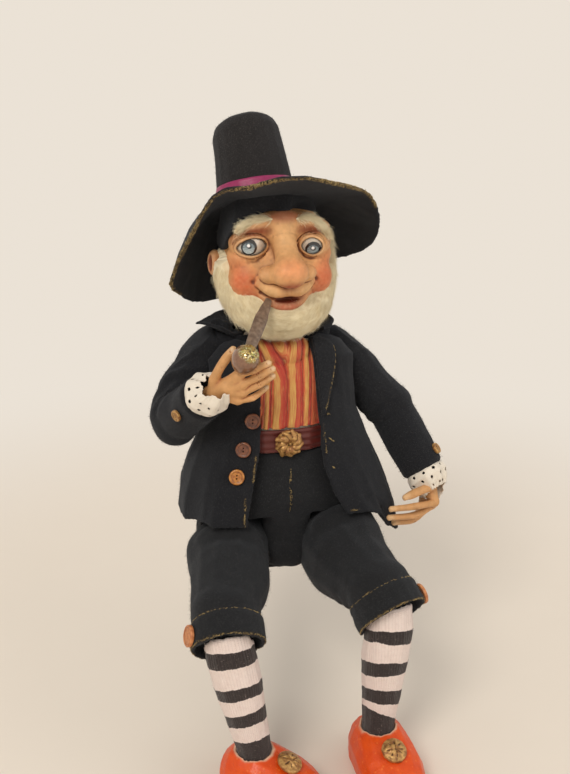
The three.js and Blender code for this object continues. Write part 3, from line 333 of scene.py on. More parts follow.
class Clay:
    """A shape built up and carved with lumps and rolls."""

    def __init__(self, low, high, grain):
        self.grain = grain
        self.low = np.array(low, float)
        counts = np.ceil((np.array(high, float) - self.low) / grain).astype(int) + 1
        self.axes = [self.low[i] + grain * np.arange(counts[i]) for i in range(3)]
        self.field = np.full(counts, 20.0, np.float32)

    def change(self, shape, soft, carve):
        distance, low, high = shape
        margin = soft + 3
        place = tuple(
            slice(int(np.searchsorted(axis, a - margin)), int(np.searchsorted(axis, b + margin)))
            for axis, a, b in zip(self.axes, low, high))
        x, y, z = (axis[span] for axis, span in zip(self.axes, place))
        new = distance(x[:, None, None], y[None, :, None], z[None, None, :])
        old = -self.field[place] if carve else self.field[place]
        share = np.clip(0.5 + 0.5 * (old - new) / soft, 0, 1)
        joined = old * (1 - share) + new * share - soft * share * (1 - share)
        self.field[place] = -joined if carve else joined

    def add(self, shape, soft=1.0):
        self.change(shape, soft, False)

    def carve(self, shape, soft=0.5):
        self.change(shape, soft, True)

    def skin(self):
        """Points and quads of the zero surface."""
        field, inside = self.field, self.field < 0
        cells_shape = np.array(field.shape) - 1
        corners = list(np.ndindex(2, 2, 2))
        crowd = np.zeros(cells_shape, np.int8)
        for corner in corners:
            crowd += inside[tuple(slice(o, o + n) for o, n in zip(corner, cells_shape))]
        mixed = (crowd > 0) & (crowd < 8)
        index = np.full(cells_shape, -1)
        index[mixed] = np.arange(mixed.sum())
        cells = np.argwhere(mixed)
        total, hits = np.zeros((len(cells), 3)), np.zeros(len(cells))
        for corner in corners:
            for axis in range(3):
                if corner[axis]:
                    continue
                step = np.eye(3, dtype=int)[axis]
                a = field[tuple((cells + corner).T)]
                b = field[tuple((cells + corner + step).T)]
                cross = (a < 0) != (b < 0)
                part = np.where(cross, a / np.where(cross, a - b, 1), 0)
                total += (np.array(corner) + part[:, None] * step) * cross[:, None]
                hits += cross
        points = self.low + self.grain * (cells + total / hits[:, None])
        quads = []
        for axis in range(3):
            one, two = (axis + 1) % 3, (axis + 2) % 3
            step, u, v = (np.eye(3, dtype=int)[i] for i in (axis, one, two))
            span = [slice(1, n) for n in cells_shape]
            span[axis] = slice(0, cells_shape[axis])
            ahead = list(span)
            ahead[axis] = slice(1, cells_shape[axis] + 1)
            here, there = inside[tuple(span)], inside[tuple(ahead)]
            for start, flip in ((here & ~there, False), (~here & there, True)):
                spots = np.argwhere(start) + u + v
                ring = [index[tuple((spots - shift).T)] for shift in (u + v, v, 0 * u, u)]
                quads.append(np.stack(ring[::-1] if flip else ring, 1))
        return points, np.concatenate(quads)

    def piece(self, name, finish, rounds=2):
        points, quads = self.skin()
        made = new_piece(name, points, quads, finish)
        relax(made, rounds)
        return made


# Fibres: fine ribbons that stand on a skin

def scatter(piece, count, seed, keep=None):
    """Random places on a piece, with the skin's normal at each."""
    rng = np.random.default_rng(seed)
    mesh = piece.data
    mesh.calc_loop_triangles()
    corners = np.empty(3 * len(mesh.loop_triangles), int)
    mesh.loop_triangles.foreach_get("vertices", corners)
    corners = corners.reshape(-1, 3)
    points, normals = points_of(piece), normals_of(piece)
    a, b, c = (points[corners[:, i]] for i in range(3))
    area = np.linalg.norm(np.cross(b - a, c - a), axis=1)
    if keep is not None:
        area = area * keep((a + b + c) / 3, unit(normals[corners].sum(1)))
    chosen = rng.choice(len(corners), count, p=area / area.sum())
    u, v = rng.random(count), rng.random(count)
    u, v = np.where(u + v > 1, 1 - u, u), np.where(u + v > 1, 1 - v, v)
    shares = np.stack([1 - u - v, u, v], 1)[:, :, None]
    spots = (points[corners[chosen]] * shares).sum(1)
    return spots, unit((normals[corners[chosen]] * shares).sum(1)), rng


def fibres(name, roots, paths, width, finish):
    """Tapered ribbons: paths is roots x steps x 3 in millimetres."""
    count, steps, _ = paths.shape
    along = np.gradient(paths, axis=1)
    outward = unit(roots)[:, None, :] + 0 * along
    across = unit(np.cross(along, outward)) * width / 2
    taper = np.sqrt(np.clip(1.05 - np.linspace(0, 1, steps) ** 2, 0, 1))[None, :, None]
    rails = np.stack([paths - across * taper, paths + across * taper], 2).reshape(-1, 3)
    first = np.arange(count)[:, None] * 2 * steps + 2 * np.arange(steps - 1)[None, :]
    quads = np.stack([first, first + 1, first + 3, first + 2], -1).reshape(-1, 4)
    made = new_piece(name, rails, quads, finish)
    paint(made, "tint", np.repeat(np.random.default_rng(count).random(count), 2 * steps))
    return made


def combed(spots, normals, flow, length, lift, curl, rng, steps=6):
    """Paths that leave the skin at the spots and lie down along the flow."""
    count = len(spots)
    long = length * (0.55 + 0.9 * rng.random(count))[:, None, None]
    stray = unit(flow + curl * rng.normal(size=(count, 3)))
    stray = unit(stray - 0.6 * normals * np.sum(stray * normals, 1, keepdims=True))
    t = np.linspace(0, 1, steps)[None, :, None]
    bend = unit(rng.normal(size=(count, 3)))[:, None, :] * curl * 0.35
    rise = lift * (0.4 + 1.2 * rng.random(count))[:, None, None]
    way = stray[:, None, :] * t + normals[:, None, :] * rise * np.sin(t * 2.2) + bend * t * t
    return spots[:, None, :] - 0.3 * normals[:, None, :] + long * way


# Materials

class Finish:
    """A procedural material, mixed from each piece's resting places in millimetres."""

    def __init__(self, name, **sockets):
        self.material = bpy.data.materials.new(name)
        self.material.use_nodes = True
        self.tree = self.material.node_tree
        self.shader = self.tree.nodes["Principled BSDF"]
        self.set(**sockets)

    def set(self, **sockets):
        for name, value in sockets.items():
            self.feed(self.shader.inputs[name.replace("_", " ").title().replace("Ior", "IOR")], value)

    def feed(self, socket, value):
        if isinstance(value, bpy.types.NodeSocket):
            self.tree.links.new(value, socket)
        elif socket.type == "RGBA":
            socket.default_value = (*value[:3], 1)
        else:
            socket.default_value = value

    def node(self, kind, inputs, **settings):
        node = self.tree.nodes.new("ShaderNode" + kind)
        for key, value in settings.items():
            setattr(node, key, value)
        for key, value in inputs.items():
            self.feed(node.inputs[key], value)
        return node

    def attribute(self, name, output="Fac"):
        return self.node("Attribute", {}, attribute_name=name).outputs[output]

    def place(self, stretch=(1, 1, 1)):
        inputs = {0: self.attribute("rest", "Vector"), 1: stretch}
        return self.node("VectorMath", inputs, operation="MULTIPLY").outputs[0]

    def noise(self, size, detail=2, stretch=(1, 1, 1)):
        inputs = {"Vector": self.place(stretch), "Scale": 1 / size, "Detail": detail}
        return self.node("TexNoise", inputs).outputs["Fac"]

    def cells(self, size):
        return self.node("TexVoronoi", {"Vector": self.place(), "Scale": 1 / size}).outputs

    def ramp(self, value, stops):
        node = self.node("ValToRGB", {"Fac": value})
        elements = node.color_ramp.elements
        while len(elements) < len(stops):
            elements.new(0.5)
        for element, (place, colour) in zip(elements, stops):
            element.position = place
            shade = (colour,) * 3 if isinstance(colour, (int, float)) else colour
            element.color = (*shade, 1)
        return node.outputs["Color"]

    def mix(self, share, a, b):
        inputs = {0: share, 6: a, 7: b}
        return self.node("Mix", inputs, data_type="RGBA").outputs[2]

    def sum(self, operation, a, b=0.0):
        return self.node("Math", {0: a, 1: b}, operation=operation).outputs[0]

    def bump(self, height, depth):
        inputs = {"Height": height, "Distance": depth * MM}
        self.feed(self.shader.inputs["Normal"], self.node("Bump", inputs).outputs["Normal"])


GOLD = (0.42, 0.29, 0.10)
GOLD_DARK = (0.10, 0.06, 0.025)


def felt_finish(name, shade, fibre):
    """Black wool felt: dull nap, stray pale fibres, and gold paint dragged over the edges."""
    finish = Finish(name, roughness=0.95, sheen_weight=0.12, sheen_roughness=0.6,
                    sheen_tint=(0.55, 0.6, 0.68), specular_ior_level=0.15)
    nap_height = finish.noise(0.5, 4)
    base = finish.mix(finish.noise(7, 3), tuple(0.75 * c for c in shade), tuple(1.25 * c for c in shade))
    threads = finish.ramp(finish.noise(0.35, 5, (1, 1, 0.25)), [(0.56, 0.0), (0.72, 1.0)])
    base = finish.mix(finish.sum("MULTIPLY", threads, 0.55), base, fibre)
    flecks = finish.noise(0.7, 3)
    worn = finish.sum("MULTIPLY", finish.attribute("gilt"), finish.ramp(flecks, [(0.46, 0.0), (0.58, 1.0)]))
    gold = finish.mix(finish.noise(1.3, 2), GOLD_DARK, GOLD)
    finish.set(base_color=finish.mix(worn, base, gold),
               metallic=finish.sum("MULTIPLY", worn, 0.3),
               roughness=finish.sum("SUBTRACT", 0.95, finish.sum("MULTIPLY", worn, 0.45)))
    finish.bump(finish.sum("ADD", nap_height, finish.sum("MULTIPLY", flecks, 0.6)), 0.35)
    return finish.material


def skin_finish(name):
    """Painted air-dry clay: matt, thinly mottled, with the paint that was brushed on it."""
    finish = Finish(name, roughness=0.5, specular_ior_level=0.35)
    colour = finish.attribute("paint", "Color")
    mottle = finish.ramp(finish.noise(3.5, 4), [(0.3, 0.86), (0.7, 1.06)])
    tinted = finish.node("Mix", {0: 1.0, 6: colour, 7: mottle}, data_type="RGBA", blend_type="MULTIPLY")
    finish.set(base_color=tinted.outputs[2],
               roughness=finish.ramp(finish.noise(1.5, 3), [(0.3, 0.42), (0.7, 0.62)]))
    finish.bump(finish.sum("ADD", finish.noise(0.8, 4), finish.noise(3, 2)), 0.14)
    return finish.material


def wool_finish(name, pale, deep):
    finish = Finish(name, roughness=0.8, sheen_weight=0.3, sheen_roughness=0.5, specular_ior_level=0.2)
    # Painted shade: the wool is darker in the grooves between the combed locks; each fibre's random tint is
    # added to it.
    strand = finish.sum("ADD", finish.attribute("strand"), finish.attribute("tint"))
    tone = finish.mix(finish.sum("MULTIPLY", strand, 0.8), pale, deep)
    finish.set(base_color=finish.mix(finish.ramp(finish.noise(5, 3), [(0.4, 0.0), (0.7, 0.5)]), tone, pale))
    finish.bump(finish.noise(0.4, 3), 0.2)
    return finish.material


def eye_finish():
    """Glazed eyes: a black disc, a pale blue one low inside it, a white painted highlight, and painted shade
    that darkens the iris toward its top.
    """
    finish = Finish("eye_glaze", roughness=0.12, coat_weight=1.0, coat_roughness=0.03, coat_ior=1.5)
    split = finish.node("SeparateXYZ", {0: finish.attribute("gaze", "Vector")})
    across, up = split.outputs[0], split.outputs[1]

    def reach(x, y):
        """Distance in tens of millimetres from a place on the eye's front."""
        dx, dy = finish.sum("SUBTRACT", across, x), finish.sum("SUBTRACT", up, y)
        square = finish.sum("ADD", finish.sum("MULTIPLY", dx, dx), finish.sum("MULTIPLY", dy, dy))
        return finish.sum("DIVIDE", finish.sum("SQRT", square), 10.0)

    turn = finish.sum("ARCTAN2", finish.sum("ADD", up, 0.8), finish.sum("ADD", across, 0.3))
    grain = finish.node("CombineXYZ", {0: turn, 1: reach(-0.15, -0.5)}).outputs[0]
    streak = finish.node("TexNoise", {"Vector": grain, "Scale": 4.0, "Detail": 3.0}).outputs["Fac"]
    # Painted shade: the iris grows darker toward its top, on top of the random streaks.
    shade = finish.sum("ADD", finish.sum("MULTIPLY", up, -0.09), streak)
    blues = [(0.2, (0.05, 0.07, 0.09)), (0.5, (0.22, 0.28, 0.31)), (0.85, (0.56, 0.64, 0.64))]
    iris = finish.ramp(shade, blues)
    ragged = finish.sum("MULTIPLY", finish.sum("SUBTRACT", finish.noise(1.2, 3), 0.5), 0.06)
    white = finish.mix(finish.noise(3, 2), (0.50, 0.42, 0.33), (0.70, 0.63, 0.54))
    black = (0.012, 0.012, 0.014)
    outer = finish.ramp(finish.sum("ADD", reach(0, 0), ragged), [(0.43, 0.0), (0.455, 1.0)])
    inner = finish.ramp(finish.sum("ADD", reach(-0.15, -0.5), ragged), [(0.30, 0.0), (0.335, 1.0)])
    pupil = finish.ramp(reach(0.2, 0.5), [(0.10, 1.0), (0.14, 0.0)])
    # A white spot painted on as a highlight: a painted reflection of the light on the glaze.
    painted_highlight = finish.ramp(reach(-0.2, 1.0), [(0.07, 1.0), (0.10, 0.0)])
    ball = finish.mix(pupil, iris, black)
    ball = finish.mix(inner, ball, black)
    ball = finish.mix(outer, ball, white)
    finish.set(base_color=finish.mix(painted_highlight, ball, (0.95, 0.95, 0.95)))
    return finish.material


def plain_clay(name, light, dark, rough=(0.35, 0.55), coat=0.0, grain=0.1, metal=0.0):
    """Painted clay, darker in its hollows with painted shade."""
    finish = Finish(name, metallic=metal, coat_weight=coat, coat_roughness=0.2)
    tone = finish.mix(finish.ramp(finish.noise(2.2, 4), [(0.35, 0.0), (0.65, 1.0)]), dark, light)
    # Painted shade: darker in the hollows.
    tone = finish.mix(finish.attribute("wash"), tone, tuple(0.3 * c for c in dark))
    matt = finish.ramp(finish.noise(1.1, 3), [(0.3, rough[0]), (0.7, rough[1])])
    finish.set(base_color=tone, roughness=matt)
    finish.bump(finish.noise(0.6, 4), grain)
    return finish.material


def shoe_finish():
    """Orange-red paint brushed over clay, glossy, with a rough pale edge at the opening."""
    finish = Finish("shoe_paint", coat_weight=0.15, coat_roughness=0.15, specular_ior_level=0.3)
    tone = finish.mix(finish.noise(5, 3), (0.62, 0.045, 0.004), (0.82, 0.105, 0.006))
    spots = finish.ramp(finish.cells(3.1)["Distance"], [(0.10, 1.0), (0.24, 0.0)])
    tone = finish.mix(finish.sum("MULTIPLY", spots, 0.35), tone, (0.92, 0.28, 0.05))
    streaks = finish.ramp(finish.noise(1.1, 4, (1, 0.3, 1)), [(0.58, 0.0), (0.74, 1.0)])
    tone = finish.mix(finish.sum("MULTIPLY", streaks, 0.4), tone, (0.45, 0.045, 0.008))
    rim = finish.attribute("rim")
    tone = finish.mix(rim, tone, (0.80, 0.52, 0.36))
    finish.set(base_color=tone, roughness=finish.mix(rim, (0.38,) * 3, (0.9,) * 3))
    finish.bump(finish.noise(0.8, 4), 0.2)
    return finish.material


def knit_finish():
    """Fine knit stocking, pinkish white, with dark bands painted round it by hand."""
    finish = Finish("stocking_knit", roughness=0.9, sheen_weight=0.2, specular_ior_level=0.2)
    feather = finish.sum("SUBTRACT", finish.noise(0.7, 3, (1, 1, 0.22)), 0.5)
    wander = finish.sum("SUBTRACT", finish.noise(3.5, 3), 0.5)
    ragged = finish.sum("ADD", finish.attribute("band"), finish.sum("MULTIPLY", feather, 0.9))
    ragged = finish.sum("ADD", ragged, finish.sum("MULTIPLY", wander, 0.8))
    painted = finish.ramp(ragged, [(0.44, 0.0), (0.56, 1.0)])
    pale = finish.mix(finish.noise(3, 3), (0.78, 0.64, 0.59), (0.90, 0.79, 0.74))
    dark = finish.mix(finish.noise(1.2, 3), (0.018, 0.014, 0.014), (0.060, 0.047, 0.045))
    split = finish.node("SeparateXYZ", {0: finish.attribute("knit", "Vector")})
    rib = finish.sum("ABSOLUTE", finish.sum("SINE", finish.sum("MULTIPLY", split.outputs[0], 2.9)))
    course = finish.sum("MULTIPLY", finish.sum("SINE", finish.sum("MULTIPLY", split.outputs[2], 6.0)), 0.2)
    course = finish.sum("ADD", course, finish.sum("SINE", finish.sum("MULTIPLY", split.outputs[1], 6.0)))
    stitch = finish.sum("ADD", rib, finish.sum("MULTIPLY", course, 0.25))
    tone = finish.mix(painted, pale, dark)
    # Painted shade in the grooves between the ribs.
    rib_shade = finish.ramp(rib, [(0.0, 0.12), (0.35, 0.0)])
    tone = finish.mix(rib_shade, tone, (0.20, 0.14, 0.12))
    finish.set(base_color=tone)
    finish.bump(finish.sum("ADD", stitch, finish.noise(0.4, 3)), 0.2)
    return finish.material


# Stripes of the brocade: place across the chest in millimetres, and colour
RED = (0.50, 0.030, 0.020)
DEEP = (0.17, 0.008, 0.008)
AMBER_SILK = (0.72, 0.15, 0.05)
GOLD_SILK = (0.80, 0.50, 0.13)
STRIPES = [
    (-20, RED), (-13, AMBER_SILK), (-11.8, DEEP), (-10.6, GOLD_SILK), (-9.2, GOLD_SILK), (-8.8, RED),
    (-7.3, DEEP), (-6.6, AMBER_SILK), (-6.1, GOLD_SILK), (-2.8, GOLD_SILK), (-2.5, AMBER_SILK),
    (-0.6, RED), (1.2, RED), (1.8, DEEP), (2.5, AMBER_SILK), (3.1, GOLD_SILK), (6.2, GOLD_SILK),
    (6.6, RED), (8.4, AMBER_SILK), (10.2, RED), (10.7, DEEP), (11.6, AMBER_SILK), (12.4, GOLD_SILK),
    (14.2, GOLD_SILK), (14.7, RED), (15.5, DEEP), (17, AMBER_SILK), (22, RED),
]


def brocade_finish():
    """Brocade in upright stripes of red, orange and gold, with fine threads along them."""
    finish = Finish("shirt_brocade", roughness=0.5, sheen_weight=0.2)
    split = finish.node("SeparateXYZ", {0: finish.attribute("weave", "Vector")})
    across, down = split.outputs[0], split.outputs[1]
    wobble = finish.sum("MULTIPLY", finish.sum("SUBTRACT", finish.noise(6, 3), 0.5), 1.4)
    low, high = STRIPES[0][0], STRIPES[-1][0]
    place = finish.node("MapRange", {0: finish.sum("ADD", across, wobble), 1: low, 2: high}).outputs[0]
    tone = finish.ramp(place, [((spot - low) / (high - low), colour) for spot, colour in STRIPES])
    drawn_out = finish.node("CombineXYZ", {0: finish.sum("MULTIPLY", across, 2.6),
                                           1: finish.sum("MULTIPLY", down, 0.12)}).outputs[0]
    threads = finish.node("TexNoise", {"Vector": drawn_out, "Scale": 1.0}).outputs["Fac"]
    fine = finish.ramp(threads, [(0.35, 0.0), (0.5, 0.25), (0.7, 0.75)])
    tone = finish.mix(fine, tone, (0.66, 0.075, 0.03))
    gold = finish.ramp(threads, [(0.30, 0.6), (0.42, 0.0)])
    tone = finish.mix(gold, tone, (0.85, 0.52, 0.16))
    warp = finish.sum("SINE", finish.sum("MULTIPLY", across, 14.0))
    weft = finish.sum("SINE", finish.sum("MULTIPLY", down, 14.0))
    weave = finish.sum("MULTIPLY", warp, weft)
    tone = finish.mix(finish.ramp(weave, [(0.0, 0.0), (0.6, 0.22)]), tone, (0.14, 0.012, 0.008))
    finish.set(base_color=tone)
    finish.bump(finish.sum("ADD", finish.sum("MULTIPLY", weave, 0.4), threads), 0.15)
    return finish.material


def glazed_bowl():
    """Brown glaze under a crust of gold and green glitter flakes."""
    finish = Finish("pipe_bowl_glaze", coat_weight=0.8, coat_roughness=0.08)
    glaze = finish.mix(finish.noise(2.5, 4), (0.10, 0.038, 0.022), (0.34, 0.17, 0.085))
    hue = finish.node("SeparateXYZ", {0: finish.cells(0.7)["Color"]}).outputs[0]
    hues = [(0.0, (0.10, 0.06, 0.02)), (0.3, (0.45, 0.30, 0.07)), (0.6, (0.75, 0.60, 0.22)),
            (0.8, (0.24, 0.30, 0.05)), (1.0, (0.92, 0.85, 0.55))]
    flakes = finish.ramp(hue, hues)
    crust = finish.attribute("glitter")
    finish.set(base_color=finish.mix(crust, glaze, flakes),
               metallic=finish.sum("MULTIPLY", crust, 0.75),
               roughness=finish.mix(crust, (0.2,) * 3, (0.28,) * 3))
    finish.bump(finish.sum("MULTIPLY", hue, crust), 0.5)
    return finish.material


def cloth_finish(name, light, dark, rough=0.6, grain=0.1):
    finish = Finish(name, roughness=rough, sheen_weight=0.25, sheen_roughness=0.4)
    tone = finish.mix(finish.noise(2.5, 3), dark, light)
    finish.set(base_color=finish.mix(finish.noise(0.35, 3), tone, light))
    finish.bump(finish.noise(0.3, 3), grain)
    return finish.material


FELT = felt_finish("felt_black", (0.0115, 0.012, 0.0145), (0.048, 0.049, 0.053))
FELT_SOFT = felt_finish("felt_breeches", (0.0135, 0.014, 0.0155), (0.06, 0.062, 0.064))
FELT_CROWN = felt_finish("felt_crown", (0.021, 0.019, 0.019), (0.11, 0.10, 0.095))
FUZZ = cloth_finish("felt_fibres", (0.05, 0.05, 0.053), (0.02, 0.02, 0.022), 0.9)
KNIT_FUZZ = cloth_finish("knit_fibres", (0.50, 0.40, 0.36), (0.25, 0.19, 0.17), 0.9)
SKIN = skin_finish("painted_skin")
WOOL = wool_finish("combed_wool", (0.94, 0.86, 0.63), (0.68, 0.54, 0.29))
EYE = eye_finish()
GILT = plain_clay("gilt_clay", (0.56, 0.33, 0.11), (0.26, 0.11, 0.035), (0.28, 0.45),
                  metal=0.35, grain=0.15)
GOLD_THREAD = plain_clay("gold_thread", (0.46, 0.34, 0.14), (0.15, 0.105, 0.05), (0.3, 0.5),
                         metal=0.5, grain=0.05)
BUTTON = plain_clay("button_clay", (0.24, 0.08, 0.03), (0.10, 0.03, 0.015), (0.35, 0.5), coat=0.2)
AMBER = plain_clay("amber_button_clay", (0.60, 0.25, 0.04), (0.32, 0.10, 0.015), (0.3, 0.45), coat=0.3)
ORANGE = plain_clay("orange_button_clay", (0.64, 0.26, 0.09), (0.42, 0.13, 0.04), (0.4, 0.55), coat=0.15)
BOWL = glazed_bowl()
STEM = plain_clay("pipe_stem_clay", (0.24, 0.17, 0.12), (0.13, 0.085, 0.06), (0.35, 0.5), coat=0.2)
SHOE = shoe_finish()
KNIT = knit_finish()
BROCADE = brocade_finish()
SASH = cloth_finish("sash_satin", (0.14, 0.020, 0.014), (0.05, 0.008, 0.007), 0.4)
RIBBON = cloth_finish("ribbon_satin", (0.36, 0.012, 0.12), (0.16, 0.006, 0.05), 0.4)
LACE = cloth_finish("lace_cotton", (0.86, 0.80, 0.70), (0.74, 0.66, 0.54), 0.85, 0.15)
CALICO = cloth_finish("body_calico", (0.72, 0.65, 0.54), (0.60, 0.53, 0.43), 0.9)
WIRE = plain_clay("armature_wire", (0.60, 0.60, 0.60), (0.45, 0.45, 0.45), (0.3, 0.4), metal=1.0)


# How pieces ride, and what they stand for

def on(body):
    """Rides on one body."""
    return lambda piece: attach(piece, body)


def over(first, second, start, end):
    """Bends with the joint between two bodies."""
    return lambda piece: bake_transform(piece, first, second, tuple(start * MM), tuple(end * MM))


def dress(piece, hold, slot, *nodes):
    """Hangs a piece on its body or joint, and hides the nodes that it replaces. The slot is not used."""
    hold(piece)
    if nodes:
        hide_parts(*nodes)


torso, head_body = on("torso"), on("head")


def surface_of(piece):
    """A tree to find places on a piece, in metres."""
    return BVHTree.FromObject(piece, bpy.context.evaluated_depsgraph_get())


def snapped(tree, points, rise):
    """The nearest places on a surface, raised along its normal, with those normals."""
    places, normals = [], []
    for point in points:
        place, normal, _, _ = tree.find_nearest(Vector(point) * MM)
        places.append(np.array(place) / MM + rise * np.array(normal))
        normals.append(normal)
    return np.array(places), np.array(normals)


def along_skin(flow, normals):
    return unit(flow - normals * np.sum(flow * normals, 1, keepdims=True))


# Head: the clay face

# The skull, the jaw, the forehead and the chin: centre and half-sizes
FACE_LUMPS = [
    ((0, 11, 200), (29.5, 28, 28)),
    ((0, 2, 180), (27, 27, 30)),
    ((0, -12, 212), (23, 9, 8)),
    ((0, -12, 162), (15, 14, 12)),
]
NOSE_BRIDGE = [(0, -15, 214), (0, -19.5, 207), (0, -25, 200), (0, -30.5, 194)]
NOSE_RADII = [8, 6.3, 6.4, 7.4]
NECK_STUB = [(0, 12, 146), (0, 12, 175)]

# Lines of the face at the doll's left; the right side mirrors them
LIP_WEDGE = [(0.5, -28, 180), (7, -27, 180.3), (13.6, -21.8, 183.8)]
WEDGE_RADII = [3.5, 3.8, 4.0, 4.2, 4.3, 4.3, 4.1, 3.6]
BESIDE_NOSE = [(9.8, -19.8, 199), (12.4, -21.5, 194), (15.6, -24.5, 189), (18, -21.8, 184)]
WING_TOP = [(10, -22.5, 197.5), (8.3, -25.5, 194.5), (6.8, -30, 196)]

# Lines across the face
UNDER_NOSE = [(-14.5, -27, 185.8), (-9, -32, 184.2), (-3, -35, 183), (3, -35, 183), (9, -32, 184.2),
              (14.5, -27, 185.8)]
LOWER_LIP = [(-11.5, -20, 175.6), (-7, -23.4, 172), (0, -25, 170.2), (7, -23.6, 171.8),
             (12.6, -19.6, 176.6)]
CHIN_FOLD = [(-12, -20, 170.5), (0, -25, 165.6), (12, -20, 171)]
MOUTH = [(-13.5, -22, 177.8), (-7, -26, 175.2), (0, -28, 174.2), (7, -26.3, 175.2), (14.5, -21.5, 179.6)]

# The foot of the hat, its lean, and where the skull stops inside it
HAT_BASE = np.array((-7.5, 12, 220))
CROWN_AIM = unit((-3.5, 19, 48))
SKULL_STOP = -1.2
SKULL_FLATTEN = 0.96
SKIN_TONE = (0.70, 0.37, 0.155)


def both(point, sign):
    """A point of the doll's left side, or its mirror."""
    return (sign * point[0], *point[1:])


def line_of(points, sign, count):
    """A smooth line of the doll's left side, or its mirror."""
    return route([both(point, sign) for point in points], count)


def lid_curve(side, grow, high, count=24):
    """Points round the eye's opening on the lids' ball, pushed outward by grow."""
    centre = np.array(EYE_CENTRES[side], float)
    points = []
    for turn in np.linspace(0, 2 * math.pi, count, endpoint=False):
        tall = EYE_HIGH if math.sin(turn) > 0 else EYE_LOW
        x = (EYE_WIDE[side] + grow) * math.copysign(abs(math.cos(turn)) ** 1.15, math.cos(turn))
        z = (tall + grow) * math.sin(turn) - 0.5 * math.cos(turn) * SIGN[side]
        x += EYE_SHIFT[side]
        z -= EYE_DROP[side]
        deep = math.sqrt(max((LID_RADIUS + high) ** 2 - x * x - z * z, 9))
        points.append(centre + (x, -deep, z))
    return np.array(points)


def almond(side):
    """The opening between the lids, as a shape to carve."""
    centre = np.array(EYE_CENTRES[side], float) + (EYE_SHIFT[side], 0, -EYE_DROP[side])
    wide = EYE_WIDE[side]

    def distance(x, y, z):
        x, z = x - centre[0], z - centre[2] + 0.06 * SIGN[side] * (x - centre[0])
        big, small = ((wide ** 2 + h * h) / (2 * h) for h in (EYE_HIGH, EYE_LOW))
        top = np.sqrt(x * x + (z + big - EYE_HIGH) ** 2) - big
        bottom = np.sqrt(x * x + (z - small + EYE_LOW) ** 2) - small
        return np.maximum(np.maximum(top, bottom), y - centre[1] + 2)

    return distance, centre - (wide, 16, 7), centre + (wide, -2, 7)


def sculpt_head():
    clay = Clay((-40, -46, 146), (40, 42, 230), HEAD_GRAIN)
    for centre, size in FACE_LUMPS:
        clay.add(lump(centre, size), 5)
    for sign in (-1, 1):
        clay.add(lump(both((18.6, -11, 183), sign), (10.8, 10.6, 12)), 5)
        clay.add(lump(both((21.5, -9, 196), sign), (8, 8, 7)), 4)
        clay.carve(lump(both((17.8, -25, 203.5), sign), (8.5, 6.5, 6.5)), 4)
        clay.add(lump(both((16, -16, 214), sign), (11, 6, 3.8), (0, sign * 14, 0)), 4)
        clay.add(lump(both((17.5, -10, 203), sign), (LID_RADIUS,) * 3), 1.2)
    clay.add(roll(NOSE_BRIDGE, NOSE_RADII), 4)
    clay.add(lump((0, -33, 190.5), (10.2, 9.4, 8.4)), 2.5)
    for sign in (-1, 1):
        clay.add(lump(both((9.8, -27.5, 189), sign), (6.2, 6.4, 4.8), (0, 0, -sign * 20)), 2.6)
        clay.carve(lump(both((4.8, -33.5, 181.4), sign), (2.4, 3.2, 2.2)), 1.2)
        clay.add(roll(line_of(LIP_WEDGE, sign, 8), WEDGE_RADII), 0.9)
        for thick, soft in ((0.4, 2.2), (0.25, 0.5)):
            clay.carve(roll(line_of(BESIDE_NOSE, sign, 14), thick), soft)
        clay.carve(roll(line_of(WING_TOP, sign, 8), 0.3), 1.2)
    clay.carve(roll(route(UNDER_NOSE, 18), 0.5), 0.6)
    clay.add(roll(route(LOWER_LIP, 14), 2.9), 1.2)
    clay.carve(roll(route(CHIN_FOLD, 9), 0.7), 2.2)
    clay.carve(roll(route(MOUTH, 14), 1.1), 0.6)
    clay.carve(lump((0.5, -27.5, 174), (7.5, 5, 1.6)), 0.8)
    for side, sign in SIGN.items():
        rim = lid_curve(side, 0.9, -0.1)
        clay.add(roll(np.vstack([rim, rim[:1]]), 0.85), 0.5)
        clay.carve(almond(side), 0.25)
        fold = lid_curve(side, 3.0, 0.3)
        clay.carve(roll(fold[1:12], 0.3), 1.3)
        clay.carve(roll(fold[14:23], 0.3), 1.4)
        bag = lid_curve(side, 5.0, 0.0)
        clay.carve(roll(bag[15:22], 0.25), 1.5)
        ear = np.array(EARS[side], float)
        clay.add(lump(ear, (4.2, 6, 7.6), (0, 0, sign * 18)), 1.5)
        clay.carve(lump(ear + (sign * 3.6, -2.5, 0.5), (2.2, 3.4, 5), (0, 0, sign * 18)), 1.0)
    clay.add(roll(NECK_STUB, 12), 1.5)
    for centre in EYE_CENTRES.values():
        clay.carve(lump(centre, (EYE_RADIUS + 0.15,) * 3), 0.1)
    made = clay.piece("head_clay", SKIN, 2)
    places = points_of(made)
    above = np.maximum((places - HAT_BASE) @ CROWN_AIM - SKULL_STOP, 0)
    places -= SKULL_FLATTEN * above[:, None] * CROWN_AIM
    move_points(made, places)
    swell(made, 0.16 * random_heights(places, 5, 81) + 0.07 * random_heights(places, 1.7, 82))
    return made


def brushed(points, colours, centre, size, colour, strength):
    """Blends a soft spot of paint into the colours."""
    away = np.sqrt((((points - np.array(centre)) / size) ** 2).sum(1))
    share = (strength * fade(away, 0.25, 1.0))[:, None]
    return mix(colours, np.array(colour), share)


def shade_hollows_light_ridges(piece, colours, rounds, depth, colour, strength):
    """Blends painted shade into a piece's hollows, or a painted highlight onto its ridges where the depth is
    negative.
    """
    share = strength * np.clip(hollows(piece, rounds) / depth, 0, 1)[:, None]
    return mix(colours, np.array(colour), share)


def paint_skin(piece, colours):
    paint(piece, "paint", np.hstack([colours, np.ones((len(colours), 1))]))


